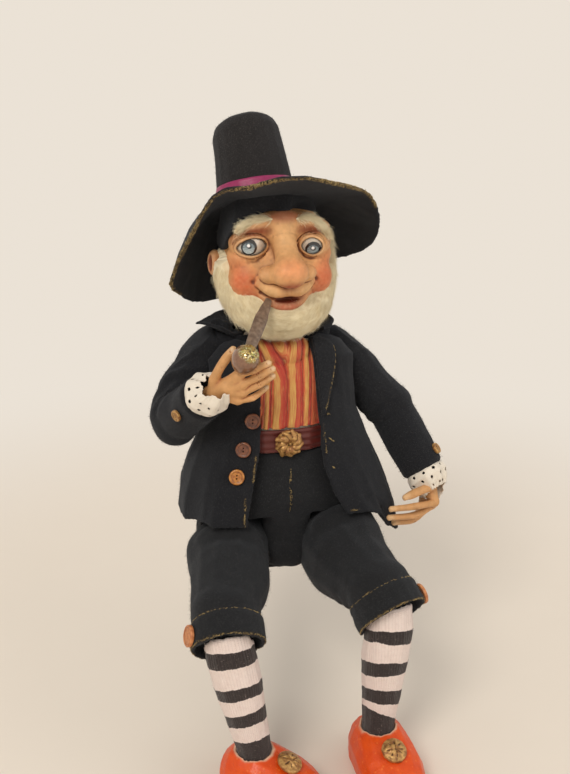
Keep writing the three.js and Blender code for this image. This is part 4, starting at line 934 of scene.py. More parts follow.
def paint_head(head):
    points = points_of(head)
    colours = np.tile(SKIN_TONE, (len(points), 1))
    rosy, tan, deep = (0.66, 0.15, 0.055), (0.60, 0.29, 0.10), (0.26, 0.06, 0.03)
    spots = [
        ((0, -38, 193), (13, 12, 9), (0.80, 0.30, 0.12), 0.85),
        # Painted shade on the underside of the nose.
        ((0, -37, 184), (10, 9, 5.5), (0.42, 0.08, 0.045), 0.85),
        ((0, -24, 208), (10, 10, 15), (0.82, 0.47, 0.21), 0.7),
        # Painted shade at the top of the forehead, where the brim overhangs it.
        ((0, -21, 219.5), (17, 10, 5.5), (0.36, 0.09, 0.05), 0.8),
        ((0, -22, 174), (21, 12, 9), (0.50, 0.16, 0.07), 0.75),
        ((0, -25, 170), (14, 9, 4.2), (0.38, 0.05, 0.028), 0.95),
        ((0, -27, 173), (13, 9, 2.4), (0.22, 0.022, 0.012), 0.95),
        # Painted shade under the nose, above the lip.
        ((0, -36, 181.5), (9, 9, 3.6), (0.24, 0.04, 0.025), 0.6),
        ((0.5, -24, 174.4), (12, 8, 2.4), (0.14, 0.012, 0.008), 0.95),
    ]
    for sign in (-1, 1):
        spots += [
            (both((22.5, -18, 183.5), sign), (12, 13, 12), rosy, 0.95),
            (both((25, -12, 193), sign), (9, 12, 9), rosy, 0.5),
            (both((19, -20, 175), sign), (8, 9, 7), (0.55, 0.13, 0.06), 0.75),
            (both((12, -22, 197), sign), (7, 9, 9), tan, 0.5),
            (both((13, -28, 191), sign), (6, 8, 6), (0.70, 0.30, 0.12), 0.6),
            (both((9.5, -29, 180.5), sign), (8, 8, 4.6), (0.80, 0.46, 0.20), 0.95),
            # Painted shade under the brows, over the upper lids and at the temples.
            (both((17, -20, 211), sign), (13, 10, 4.8), deep, 0.9),
            (both((26, -14, 207), sign), (6, 9, 8), deep, 0.6),
            (both((10.5, -22, 212), sign), (6, 8, 5), deep, 0.4),
            # Reddish paint on the ears, darkened further with painted shade from the brim.
            (both((34, 9, 188), sign), (8, 12, 12), (0.36, 0.09, 0.05), 0.9),
        ]
    for centre, size, colour, strength in spots:
        colours = brushed(points, colours, centre, size, colour, strength)
    # Painted shade in the broad hollows of the face.
    colours = shade_hollows_light_ridges(head, colours, 14, 0.35, (0.26, 0.095, 0.038), 0.5)
    # Dark lines in the fine creases: the maker's painted lines, deepened with painted shade.
    colours = shade_hollows_light_ridges(head, colours, 3, 0.09, (0.13, 0.035, 0.018), 0.85)
    # Painted highlights on the ridges of the face.
    colours = shade_hollows_light_ridges(head, colours, 3, -0.12, (0.88, 0.60, 0.34), 0.45)
    for side in SIGN:
        line = lid_curve(side, 0.1, -0.35, 60)
        near = fade(distances(points, line), 0.5, 1.0)[:, None] * 0.97
        colours = mix(colours, np.array((0.025, 0.012, 0.01)), near)
    paint_skin(head, colours)


def eyeball(name):
    """A glazed ball whose pole looks along the gaze."""
    gaze = unit(GAZE[name])
    side = unit(np.cross((0, 0, 1), gaze))
    axes = np.array([side, np.cross(gaze, side), gaze])
    rings, around = 40, 48
    points, places, quads = [], [], []
    for i in range(rings + 1):
        bend = math.pi * i / rings
        painted = bend < 1.4
        for j in range(around):
            turn = 2 * math.pi * j / around
            local = EYE_RADIUS * np.array((math.sin(bend) * math.cos(turn),
                                           math.sin(bend) * math.sin(turn), math.cos(bend)))
            points.append(EYE_CENTRES[name] + local @ axes)
            places.append(local if painted else (10, 0, 0))
    for i in range(rings):
        for j in range(around):
            here, there = i * around, (i + 1) * around
            k = (j + 1) % around
            quads.append((here + j, there + j, there + k, here + k))
    ball = new_piece(name + "_eyeball", points, quads, EYE)
    paint(ball, "gaze", np.array(places))
    dress(ball, head_body, "eye_glaze", name + "_eye")


head = sculpt_head()
paint_head(head)
dress(head, head_body, "skin", "head")
for side in SIGN:
    eyeball(side)


# Wool: combed pads under many fine fibres

FACE_CENTRE = np.array((0, 0, 190))
WOOL_WIDTH = 0.13
BROWS = {
    "right": [(-25.5, 210), (-22.5, 214), (-17, 216.8), (-11.5, 217.8), (-7, 217.5)],
    "left": [(7, 217), (12, 217.8), (17, 216), (21, 212), (23.5, 207.5)],
}


def round_chin(spots, normals):
    """Fibres run down from the temples and round under the chin."""
    away = spots - FACE_CENTRE
    sign = np.where(away[:, 0] > 0, 1.0, -1.0)
    return along_skin(np.stack([sign * away[:, 2], 0 * sign, -sign * away[:, 0]], 1), normals)


def downward(spots, normals):
    return along_skin(np.tile((0.0, 0.0, -1.0), (len(spots), 1)), normals)


def near_ears(points):
    ears = np.array([EARS[side] for side in SIGN], float)
    return distances(points, ears)


def wool(name, pad, node, count, length, flow, seed, lift):
    paint(pad, "rest", points_of(pad))

    def clear(spots, normals):
        """No fibres at the ears, nor at the right temple, which shows skin."""
        bare = (spots[:, 0] < -23) & (spots[:, 2] > 190) | (near_ears(spots) < EAR_CLEAR)
        return np.where(bare, 0.0, 1.0)

    spots, normals, rng = scatter(pad, count, seed, clear)
    paths = combed(spots, normals, flow(spots, normals), length, lift, 0.22, rng)
    hairs = fibres(name + "_fibres", normals, paths, WOOL_WIDTH, WOOL)
    dress(pad, head_body, "wool", node)
    dress(hairs, head_body, "wool")


def locks(places, combed_round, seed):
    """Heights of combed locks, long along the fibres and narrow across them."""
    away = places - FACE_CENTRE
    if combed_round:
        radius = np.hypot(away[:, 0], away[:, 2])
        spread = [4 * np.arctan2(away[:, 0], -away[:, 2]), radius / 1.4, away[:, 1] / 1.4]
    else:
        spread = [away[:, 0] / 1.4, away[:, 1] / 1.4, away[:, 2] / 10]
    return random_heights(np.stack(spread, 1), 1, seed)


def wool_pad(node, puff, seed):
    pad = skinned(node + "_pad", [node], 0.6, 12, WOOL)
    places = points_of(pad)
    strands = locks(places, node == "beard", seed)
    heights = puff + 0.35 * random_heights(places, 4, seed) + 0.28 * strands
    under_chin = fade(np.abs(places[:, 0]), 12, 24) * fade(-places[:, 2], -172, -164)
    swell(pad, heights - 0.9 * under_chin)
    under = snapped(surface_of(head), points_of(pad), -2.5)[0]
    bare = np.maximum(fade(near_ears(places), 5, EAR_CLEAR + 2),
                      fade(-places[:, 2], -194, -189) * fade(places[:, 0], -27, -22))
    move_points(pad, mix(points_of(pad), under, bare[:, None]))
    # Painted shade: darker where the pad dips between the locks.
    paint(pad, "strand", np.clip(0.4 - 0.7 * strands, 0, 1))
    return pad


wool("beard", wool_pad("beard", 0.1, 11), "beard", 34000, 4.2, round_chin, 11, 0.10)
wool("hair", wool_pad("hair", 0.3, 12), "hair", 12000, 5.0, downward, 12, 0.12)

face = surface_of(head)
for side, sign in SIGN.items():
    ridge = []
    for x, z in route([(x, 0, z) for x, z in BROWS[side]], 12)[:, ::2]:
        place, _, _, _ = face.ray_cast(Vector((x, -80, z)) * MM, Vector((0, 1, 0)))
        ridge.append(np.array(place) / MM)
    ridge = np.array(ridge)
    clay = Clay(ridge.min(0) - 5, ridge.max(0) + 5, 0.4)
    clay.add(roll(ridge, np.interp(np.arange(12), [0, 3, 7, 11], [0.6, 1.2, 1.1, 0.6])))
    brow = clay.piece(side + "_brow_pad", WOOL, 2)
    outward = (ridge[0] - ridge[-1]) * (1 if side == "right" else -1)
    flow = lambda spots, normals, way=outward: along_skin(np.tile(unit(way), (len(spots), 1)), normals)
    wool(side + "_brow", brow, side + "_eyebrow", 3000, 4.4, flow, 13, 0.22)


# Hands: modelled from the places of their knuckles and finger tips

HANDS = {
    "right": {
        "fingers": [
            [(-33.5, -54, 142), (-26, -58, 146), (-17.5, -56.5, 148.5)],
            [(-31, -54.5, 137.5), (-23.5, -58, 142), (-15.2, -56, 145)],
            [(-31, -53, 132.5), (-23, -56.5, 137), (-14.8, -54.5, 140.5)],
            [(-33, -50.5, 127.5), (-25.5, -53.5, 129), (-17.6, -51, 133)],
        ],
        "thumb": [(-44.5, -46, 138), (-41.5, -51, 147.5), (-35.4, -52, 156)],
        "palm": (-38.5, -50, 134.5),
        "back": (-0.35, -0.85, 0.35),
    },
    "left": {
        "fingers": [
            [(91.3, -29, 43), (75.8, -37.6, 46), (59, -42.5, 48.5)],
            [(91.3, -25, 39.5), (77.8, -34, 38.5), (58.4, -41.5, 42.5)],
            [(90.3, -21, 36.5), (78.3, -29, 33), (63.8, -35, 35.5)],
            [(88.8, -17.6, 35.5), (78.8, -23.6, 31), (69.3, -27.6, 32.5)],
        ],
        "thumb": [(87.8, -28, 53), (79.8, -34, 54), (69.3, -37.6, 52.5)],
        "palm": (90, -23.5, 47),
        "back": (0.85, 0.1, -0.4),
    },
}
HAND_TONE = (0.64, 0.34, 0.14)
HAND_GRAIN = 0.35

# Radii along a digit from its root to its tip, and how thick each finger is against the first
FINGER_SHARES = (1.0, 1.03, 1.0, 0.86)
FINGER_RADII = [3.0, 2.45, 2.0, 2.2, 1.85, 1.75]
THUMB_RADII = [4.0, 3.1, 2.5, 2.5, 2.6, 1.9]


def sculpt_hand(side):
    plan = HANDS[side]
    digits = plan["fingers"] + [plan["thumb"]]
    wrist, palm = np.array(WRISTS[side]), np.array(plan["palm"], float)
    everything = np.vstack([np.vstack(digits), [palm, wrist]])
    clay = Clay(everything.min(0) - 9, everything.max(0) + 9, HAND_GRAIN)
    start = wrist + unit(wrist - palm) * 5
    clay.add(roll([start, wrist, mix(wrist, palm, 0.6), palm], [4.6, 4.4, 4.4, 4.6]), 1.5)
    for finger in plan["fingers"]:
        clay.add(roll([mix(wrist, palm, 0.5), finger[0]], [3.8, 3.0]), 2.5)
    for finger, size in zip(plan["fingers"], FINGER_SHARES):
        path = route([mix(palm, np.array(finger[0]), 0.4), *finger], 13)
        radii = size * np.interp(np.linspace(0, 3, 13), [0, 1, 1.5, 2, 2.5, 3], FINGER_RADII)
        clay.add(roll(path, radii), 1.0)
    path = route([mix(wrist, palm, 0.5), *plan["thumb"]], 13)
    clay.add(roll(path, np.interp(np.linspace(0, 3, 13), [0, 1, 1.5, 2, 2.6, 3], THUMB_RADII)), 1.6)
    back = unit(plan["back"])
    nails = []
    for digit in digits:
        tip, before = np.array(digit[2], float), np.array(digit[1], float)
        aim = unit(tip - before)
        outward = unit(back - aim * (back @ aim))
        across = np.cross(aim, outward)
        bed = tip + 1.35 * outward - 0.1 * aim
        nails.append(bed)
        clay.carve(roll([bed - 1.0 * aim + 0.55 * outward, bed + 0.8 * aim + 0.55 * outward], 0.75), 0.4)
        clay.add(roll([bed - 0.7 * aim - 0.45 * outward, bed + 1.0 * aim - 0.4 * outward], 0.8), 0.15)
        for shift in (-0.5, 0.5):
            spot = before + 1.6 * outward + shift * aim
            clay.carve(roll([spot - 1.3 * across, spot + 1.3 * across], 0.2), 0.6)
    hand = clay.piece(side + "_hand_clay", SKIN, 2)
    points = points_of(hand)
    colours = np.tile(HAND_TONE, (len(points), 1))
    for digit in digits:
        # Painted highlights on the finger tips and middle joints.
        colours = brushed(points, colours, digit[2], 5, (0.76, 0.50, 0.27), 0.7)
        colours = brushed(points, colours, digit[1], 3.5, (0.72, 0.40, 0.19), 0.6)
        colours = brushed(points, colours, digit[0], 5, (0.66, 0.34, 0.14), 0.5)
    for bed in nails:
        colours = brushed(points, colours, bed, 1.5, (0.80, 0.60, 0.40), 0.8)
    # Painted shade between the fingers and in the finer creases.
    colours = shade_hollows_light_ridges(hand, colours, 10, 0.35, (0.45, 0.12, 0.05), 0.8)
    colours = shade_hollows_light_ridges(hand, colours, 3, 0.10, (0.25, 0.07, 0.03), 0.7)
    paint_skin(hand, colours)
    dress(hand, on(side + "_forearm"), "skin", side + "_hand")


for side in SIGN:
    sculpt_hand(side)


# Felt garments

def ring_shell(name, outer, inner, finish):
    """A closed band between two grids of rows x around points."""
    rows, around, _ = outer.shape
    points = np.vstack([outer.reshape(-1, 3), inner.reshape(-1, 3)])
    j = np.arange(around)
    k = (j + 1) % around
    step = np.arange(rows - 1)[:, None] * around
    low, high = step, step + around
    size = rows * around
    outside = np.stack([low + j, low + k, high + k, high + j], -1).reshape(-1, 4)
    inside = np.stack([low + k, low + j, high + j, high + k], -1).reshape(-1, 4) + size
    top = (rows - 1) * around
    foot = np.stack([j + size, k + size, k, j], 1)
    head_cap = np.stack([top + j, top + k, top + k + size, top + j + size], 1)
    return new_piece(name, points, np.vstack([outside, inside, foot, head_cap]), finish)


NAP_WIDTH = 0.07
DASH = 1.5
DASH_RADIUS = 0.16

# Radii of the stuffing at the joints, and how far the cuff's lies up the sleeve
ELBOW_FILL, SHOULDER_FILL, CUFF_FILL = 13.9, 15.8, 12.2
KNEE_FILL, HIP_FILL, THIGH_FILL = 18.4, 20.4, 18.5
CUFF_BACK = 8

# Places where a sleeve is fuller: the way along it, 1 at the elbow and 2 at the wrist, a shift, half-sizes,
# the side that swells and its height
SLEEVE_FULLNESS = {
    "right": [(1, (-6, 4, 18), (26, 26, 24), (-0.95, 0, 0.3), 4.0)],
    "left": [(0.75, (0, 0, 0), (20, 24, 20), (-0.8, 0, -0.6), 3.0),
             (1, (8, 0, -4), (26, 24, 26), (0.9, 0, 0.4), 2.5),
             (1.6, (0, 0, 0), (24, 20, 24), (0.9, 0, 0.4), 2.0)],
}

# The same for a leg, whose way runs from 0 at the hip to 1 at the knee
LEG_FULLNESS = {
    "right": [(0, (-16, -14, -2), (26, 34, 26), (-1, -0.2, -0.1), 8.0),
              (0.6, (8, 0, 0), (22, 30, 26), (1, 0, -0.3), 3.0)],
    "left": [(0.6, (-6, 0, -8), (26, 34, 24), (-0.5, -0.2, -1), 3.0),
             (0, (-8, -26, -12), (22, 30, 22), (-0.5, 0, -1), 5.0),
             (0, (14, -24, 10), (20, 30, 20), (1, 0, 0.6), 5.0)],
}

# Stuffing of the crotch, and the lines of the fly and of the knee cuffs' seams below the knee
SEAT_FILL = [((1, -21, 42), 15), ((2, -18, 30), 15), ((-3, -21, 20), 11), ((4, -21, 19), 11)]
FLY = [(1.2, -31.6, 75), (0.5, -34.3, 63.6), (0.3, -35.4, 48)]
KNEE_SEAMS = (3.0, 17.0)

# Edges of the jacket that were stitched in gold, with the strokes along each
JACKET_EDGES = [
    [(-20, -34.9, 86.5), (-21.3, -36.8, 79.5), (-22.4, -38.7, 73.1)],
    [(-27.6, -40.9, 63.6), (-28.5, -43.4, 56.8), (-29.4, -46.2, 49.5)],
    [(20.3, -32.2, 101.6), (20.8, -34, 92.5), (21, -35.9, 83.9)],
    [(33.9, -45.4, 52.2), (37.5, -45.4, 51.8)],
]
EDGE_DASHES = (16, 14, 9, 5)
LAPEL_SEAM = [(33, -15, 143), (28.5, -23.5, 129.6), (24.8, -28.3, 119.5), (21.5, -32.2, 110.2)]
BUTTONHOLES = [
    [(22.9, -30.4, 106.9), (24.9, -29.8, 105.9)],
    [(23.0, -33.8, 93.5), (25.8, -33.2, 90.8)],
    [(23.9, -37.2, 77.2), (25.4, -37.2, 76)],
]


def gilded(piece, line, width):
    """Marks where gold paint was dragged along a line."""
    points = points_of(piece)
    paint(piece, "gilt", fade(distances(points, line), 0.25 * width, width))


def ungilded(piece):
    """Marks a piece that has no gold paint."""
    paint(piece, "gilt", np.zeros(len(piece.data.vertices)))


def tubes(name, paths, radius, finish):
    """Six-sided strokes: paths is count x steps x 3, with rounded ends."""
    sides = 6
    count, steps, _ = paths.shape
    along = unit(np.gradient(paths, axis=1))
    across = unit(np.cross(along, (0.31, 0.53, 0.79)))
    other = np.cross(along, across)
    ends = np.sqrt(np.clip(1 - np.linspace(-1, 1, steps) ** 6, 0.02, 1))[None, :, None]
    rings = []
    for turn in np.linspace(0, 2 * math.pi, sides, endpoint=False):
        rings.append(paths + radius * ends * (math.cos(turn) * across + math.sin(turn) * other))
    points = np.stack(rings, 2).reshape(-1, 3)
    base = (np.arange(count)[:, None] * steps + np.arange(steps - 1)[None, :])[:, :, None] * sides
    j = np.arange(sides)
    k = (j + 1) % sides
    quads = np.stack([base + j, base + k, base + sides + k, base + sides + j], -1).reshape(-1, 4)
    caps = []
    for last in (False, True):
        start = (np.arange(count)[:, None] * steps + (steps - 1 if last else 0)) * sides
        cap = [start + i for i in ((0, 1, 2, 3) if last else (3, 2, 1, 0))]
        more = [start + i for i in ((0, 3, 4, 5) if last else (5, 4, 3, 0))]
        caps += [np.hstack(cap), np.hstack(more)]
    return new_piece(name, points, np.vstack([quads] + caps), finish)


def dashes(name, piece, hold, line, count, width, seed):
    """Short strokes of gold thread, scattered along a line on a piece."""
    rng = np.random.default_rng(seed)
    line = np.asarray(line, float)
    steps = np.linalg.norm(np.diff(line, axis=0), axis=1)
    steps[steps > 4] = 0
    chosen = rng.choice(len(steps), count, p=steps / steps.sum())
    spots = mix(line[chosen], line[chosen + 1], rng.random(count)[:, None])
    ways = unit(line[chosen + 1] - line[chosen])
    spots = spots + rng.normal(size=(count, 3)) * width / 2
    places, normals = snapped(surface_of(piece), spots, 0.12)
    ways = along_skin(ways + 0.5 * rng.normal(size=(count, 3)), normals)
    t = np.linspace(-0.5, 0.5, 5)[None, :, None]
    long = DASH * (0.4 + 0.9 * rng.random(count))[:, None, None]
    bow = normals[:, None, :] * (0.12 - 0.9 * t * t)
    paths = places[:, None, :] + ways[:, None, :] * long * t + 0.4 * bow
    dress(tubes(name, paths, DASH_RADIUS, GOLD_THREAD), hold, "gilt_clay")


def nap(piece, hold, count, length, seed, width=NAP_WIDTH, finish=FUZZ, slot="felt"):
    """Loose fibres that stand off a piece's skin."""
    spots, normals, rng = scatter(piece, count, seed)
    paths = combed(spots, normals, unit(rng.normal(size=(count, 3))), length, 0.7, 0.8, rng, 4)
    dress(fibres(piece.name + "_nap", normals, paths, width, finish), hold, slot)


def rumple(piece, size, depth, seed):
    """Soft, shallow folds all over a garment."""
    places = points_of(piece)
    heights = random_heights(places, size, seed) + 0.5 * random_heights(places, size * 0.5, seed + 7)
    swell(piece, depth * heights)


def creases(piece, centre, aim, inner, depth, wave, reach):
    """Folds across a limb where it bends, deepest on its inner side."""
    points = points_of(piece)
    away = points - np.array(centre)
    along = away @ unit(aim)
    side = np.clip(unit(away) @ unit(inner), -0.2, 1) + 0.2
    ripple = np.sin(2 * math.pi * along / wave + 1.5 * random_heights(points, 9, 3))
    swell(piece, depth * ripple * side * fade(np.abs(along), 0.15 * reach, reach))


def ease(piece, centre, reach, rounds):
    """Smooths a piece round one place."""
    points = points_of(piece)
    share = fade(np.linalg.norm(points - centre, axis=1), 0.6 * reach, reach)[:, None]
    move_points(piece, mix(points, relaxed(points, edges_of(piece), rounds, (0.5, -0.5)), share))


def fuller(piece, centre, size, toward, depth):
    """Stuffs a place out on the side that faces toward."""
    points = points_of(piece)
    away = np.sqrt((((points - centre) / size) ** 2).sum(1))
    facing = np.clip(normals_of(piece) @ unit(toward), 0, 1)
    swell(piece, depth * facing * fade(away, 0.2, 1))


SHOULDER_SLOPES = {"right": ((-36, 149.5), (-58.5, 131.5)), "left": ((37, 147.5), (66, 124.5))}
SLOPE_KEEP = 0.15


def sloped(piece, side):
    """Lets the felt fall from the neck to the arm in one slope."""
    points = points_of(piece)
    (x0, z0), (x1, z1) = SHOULDER_SLOPES[side]
    normal = unit((abs(z1 - z0) * SIGN[side], 0, abs(x1 - x0)))
    over_line = np.maximum((points - (x0, 0, z0)) @ normal, 0)
    past_neck = fade(-SIGN[side] * points[:, 0], -36, -30) * fade(np.abs(points[:, 0]), 60, 80)
    move_points(piece, points - ((1 - SLOPE_KEEP) * over_line * past_neck)[:, None] * normal)


COLLAR_TIP = np.array((-46, 0, 157.5))
COLLAR_FILL = [((-34.5, 2, 155), 3.2), ((-30.0, 0, 153), 3.6)]

# The neck band: height and half-sizes of each row, its dent under the chin and its thickness
STAND_CENTRE = np.array((0, 10, 0))
STAND_ROWS = [(137, 34, 22), (141, 35, 23), (145, 35, 23.5), (148.5, 34, 23)]
STAND_DENT = 9
STAND_THICK = 2.4


def collar_shape(points):
    """The wing at the doll's right runs out to a point; the other lies close under the beard."""
    points = points.copy()
    pointed = np.clip((-26 - points[:, 0]) / 18, 0, 1)[:, None]
    line = COLLAR_TIP + (points[:, :1] - COLLAR_TIP[0]) * (1, 0.12, 0.12)
    points = mix(points, line, pointed * (0, 0.8, 0.62))
    tucked = np.clip((points[:, 0] - 20) / 16, 0, 1)
    points[:, 0] -= 8.5 * tucked
    points[:, 2] -= 2.5 * tucked
    return points


# Places where the jacket's panels are smoothed into each other: centre, reach, rounds
JACKET_EASES = [((42, -10, 135), 16, 40), ((46, -8, 112), 14, 40), ((-36, -10, 135), 14, 30),
                ((62, 5, 22), 16, 50)]
JACKET_PANELS = ["jacket_back", "jacket_right_front", "jacket_left_front"]


def neck_band():
    """Felt that closes the neck between the collar, the shoulders and the wool."""
    turns = np.linspace(0, 2 * math.pi, 72, endpoint=False)
    dent = STAND_DENT * (0.5 + 0.5 * np.cos(turns)) ** 3
    walls = []
    for inset in (0, STAND_THICK):
        rows = []
        for z, wide, deep in STAND_ROWS:
            x, y = (wide - inset) * np.sin(turns), -(deep - inset - dent) * np.cos(turns)
            rows.append(STAND_CENTRE + np.stack([x, y, 0 * turns + z], 1))
        walls.append(np.array(rows))
    band = ring_shell("neck_band_felt", *walls, FELT)
    swell(band, 0.4 * random_heights(points_of(band), 7, 27))
    ungilded(band)
    dress(band, torso, "felt")


def sew_jacket():
    """The coat's back and fronts in one felt, with gold thread along its edges and buttonholes."""
    jacket = skinned("jacket_felt", JACKET_PANELS, 1.1, 14, FELT)
    for side in SIGN:
        sloped(jacket, side)
    for centre, reach, rounds in JACKET_EASES:
        ease(jacket, centre, reach, rounds)
    rumple(jacket, 16, 0.55, 21)
    gilded(jacket, np.vstack([route(path, 24) for path in JACKET_EDGES]), 0.6)
    dress(jacket, torso, "felt", *JACKET_PANELS)
    nap(jacket, torso, 16000, 1.1, 22)
    for number, (path, count) in enumerate(zip(JACKET_EDGES, EDGE_DASHES)):
        dashes(f"jacket_edge_thread_{number}", jacket, torso, route(path, 12), count, 0.3, 60 + number)
    for number, path in enumerate(BUTTONHOLES):
        dashes(f"buttonhole_thread_{number}", jacket, torso, path, 9, 0.5, 70 + number)


def sew_wing(node, depth):
    """The collar or a lapel."""
    wing = skinned(node + "_felt", [node], 0.8, 8, FELT, COLLAR_FILL if node == "collar" else ())
    if node == "collar":
        move_points(wing, collar_shape(points_of(wing)))
        ease(wing, (-33, 0, 157), 9, 30)
    rumple(wing, 9, depth, 23)
    gilded(wing, route(LAPEL_SEAM, 40), 0.5)
    dress(wing, torso, "felt", node)
    nap(wing, torso, 2500, 1.0, 24)
    if node == "left_lapel":
        dashes("lapel_thread", wing, torso, route(LAPEL_SEAM, 30), 26, 0.2, 65)


def sew_sleeve(side):
    """A padded sleeve that bends at the elbow."""
    elbow, shoulder, wrist = (np.array(place[side], float) for place in (ELBOWS, SHOULDERS, WRISTS))
    aim = unit(wrist - shoulder)
    bends = over(side + "_upper_arm", side + "_forearm", elbow - 6 * aim, elbow + 6 * aim)
    cuff = wrist - CUFF_BACK * unit(wrist - elbow)
    sleeve = skinned(side + "_sleeve", [side + "_upper_sleeve", side + "_lower_sleeve"], 1.2, 16, FELT,
                     [(elbow, ELBOW_FILL), (shoulder, SHOULDER_FILL), (cuff, CUFF_FILL)])
    ease(sleeve, elbow, 24, 60)
    ease(sleeve, shoulder, 22, 40)
    for way, shift, size, toward, height in SLEEVE_FULLNESS[side]:
        place = mix(shoulder, elbow, way) if way < 1 else mix(elbow, wrist, way - 1)
        fuller(sleeve, place + shift, size, toward, height)
    sloped(sleeve, side)
    inner = unit(unit(shoulder - elbow) + unit(wrist - elbow))
    creases(sleeve, elbow, aim, inner, 0.9 if side == "right" else 0.4, 7.5, 17)
    creases(sleeve, shoulder, unit(elbow - shoulder), (0, -1, -0.4), 0.5, 7, 16)
    rumple(sleeve, 13, 0.5, 25)
    dress(sleeve, bends, "felt", side + "_upper_sleeve", side + "_lower_sleeve")
    nap(sleeve, bends, 9000, 1.1, 26)


def sew_seat():
    """The seat of the breeches, filled at the crotch, with a fly seam down the belly."""
    seat = skinned("breeches_seat_felt", ["breeches_seat"], 1.3, 16, FELT_SOFT, SEAT_FILL)
    fuller(seat, (3, -38, 40), (52, 22, 20), (0, -1, -0.3), -5.0)
    ease(seat, (2, -34, 42), 34, 140)
    fuller(seat, (-34, -10, 30), (18, 30, 24), (-1, -0.2, -0.2), 4.0)
    places = points_of(seat)
    fly = route(FLY, 40)
    swell(seat, 0.5 * random_heights(places, 14, 31) - 0.7 * fade(distances(places, fly), 0.2, 1.6))
    gilded(seat, fly, 0.5)
    dress(seat, torso, "felt", "breeches_seat")
    nap(seat, torso, 7000, 1.2, 32)
    dashes("fly_thread", seat, torso, route(FLY, 30), 40, 0.6, 68)


def sew_leg(side):
    """A padded breeches leg with its knee cuff, which bends at the knee."""
    hip, knee = np.array(HIPS[side], float), np.array(KNEES[side], float)
    aim = unit(CUFF_AIMS[side])
    bend = unit(unit(knee - hip) + aim)
    bends = over(side + "_thigh", side + "_shin", knee - 5 * bend, knee + 5 * bend)
    leg = skinned(side + "_breeches", [side + "_breeches_leg", side + "_knee_cuff"], 1.3, 16, FELT_SOFT,
                  [(knee, KNEE_FILL), (hip, HIP_FILL), (mix(hip, knee, 0.33) + (0, 0, 7), THIGH_FILL)])
    ease(leg, knee - 6 * aim, 22, 40)
    for way, shift, size, toward, height in LEG_FULLNESS[side]:
        fuller(leg, mix(hip, knee, way) + shift, size, toward, height)
    rumple(leg, 17, 0.8, 33)
    creases(leg, knee, bend, (0, 0.4, -1), 0.6, 8, 18)
    across = unit(np.cross(aim, (1, 0, 0)))
    out = np.cross(aim, across)
    turns = np.linspace(0, 2 * math.pi, 90)
    spokes = np.array([math.cos(turn) * across + math.sin(turn) * out for turn in turns])
    tree = surface_of(leg)
    seam, hem = (snapped(tree, knee + along * aim + 20 * spokes, 0)[0] for along in KNEE_SEAMS)
    swell(leg, -0.5 * fade(distances(points_of(leg), seam), 0.3, 2.4))
    gilded(leg, np.vstack([seam, hem]), 0.7)
    dress(leg, bends, "felt", side + "_breeches_leg", side + "_knee_cuff")
    nap(leg, bends, 10000, 1.2, 34)
    dashes(side + "_cuff_seam_thread", leg, bends, seam, 110, 0.35, 66)
    dashes(side + "_cuff_hem_thread", leg, bends, hem, 190, 0.35, 66)


neck_band()
sew_jacket()
for node, depth in (("collar", 0.3), ("right_lapel", 0.15), ("left_lapel", 0.15)):
    sew_wing(node, depth)
for side in SIGN:
    sew_sleeve(side)
sew_seat()
for side in SIGN:
    sew_leg(side)


# Hat

# Directions round the hat that were gilded, in degrees from the front, and how far out its edge lies
HAT_GILT = (-114, 70)
BRIM_EDGE = 34

# Places where the brim is lifted: centre, reach, height
BRIM_LIFTS = [((-40, -28), 24, 3.5), ((0, -42), 26, 2.0)]

# Heights of the lining's lower edge, and its middle line, half thickness and flange; the lining's black felt
# also stands in for the brim's shadow on the forehead and the right temple
FOREHEAD_LINE, NAPE_LINE, TEMPLE_LINE = 221.5, 208.5, 197
BAND_AXIS = np.array((0, 8, 0))
BAND_HALF = 1.5
BAND_TURNS, BAND_ROWS = 96, 9
FLANGE_REACH, FLANGE_THICK = 9, 0.9

# Bottom and top of the hat ribbon above the foot of the crown
RIBBON_SPAN = (1.2, 11.3)


def brim_over(tree, place, base, rise, otherwise):
    """Height of the brim's underside over a place, raised a little, or otherwise where there is no brim."""
    under, _, _, _ = tree.ray_cast(Vector((place[0], place[1], base)) * MM, Vector((0, 0, 1)))
    return otherwise if under is None else under[2] / MM + rise


def brim_shadow_lining_line(tree, way, turn, share):
    """How far out the head's skin is and how high the band runs, in one direction."""
    low = mix(NAPE_LINE, FOREHEAD_LINE, 0.5 + 0.5 * math.cos(turn))
    # Lower over the right temple, where the black felt stands in for the brim's shadow.
    low = mix(low, TEMPLE_LINE, max(-math.sin(turn - 0.1), 0) ** 5)
    edge = HAT_BASE + 24 * way
    high = edge[2] - ((edge - HAT_BASE) @ CROWN_AIM) / CROWN_AIM[2] + 2.0
    for out in (26, 30, 34):
        high = max(high, brim_over(tree, BAND_AXIS + out * way, 190, 0.8, high))
    z = mix(low, max(high, low + 3), share)
    outside = BAND_AXIS + 60 * way + (0, 0, z)
    place, _, _, _ = face.ray_cast(Vector(outside) * MM, Vector(-way))
    reach = 20 if place is None else np.linalg.norm(np.array(place)[:2] / MM - BAND_AXIS[:2])
    return reach, z


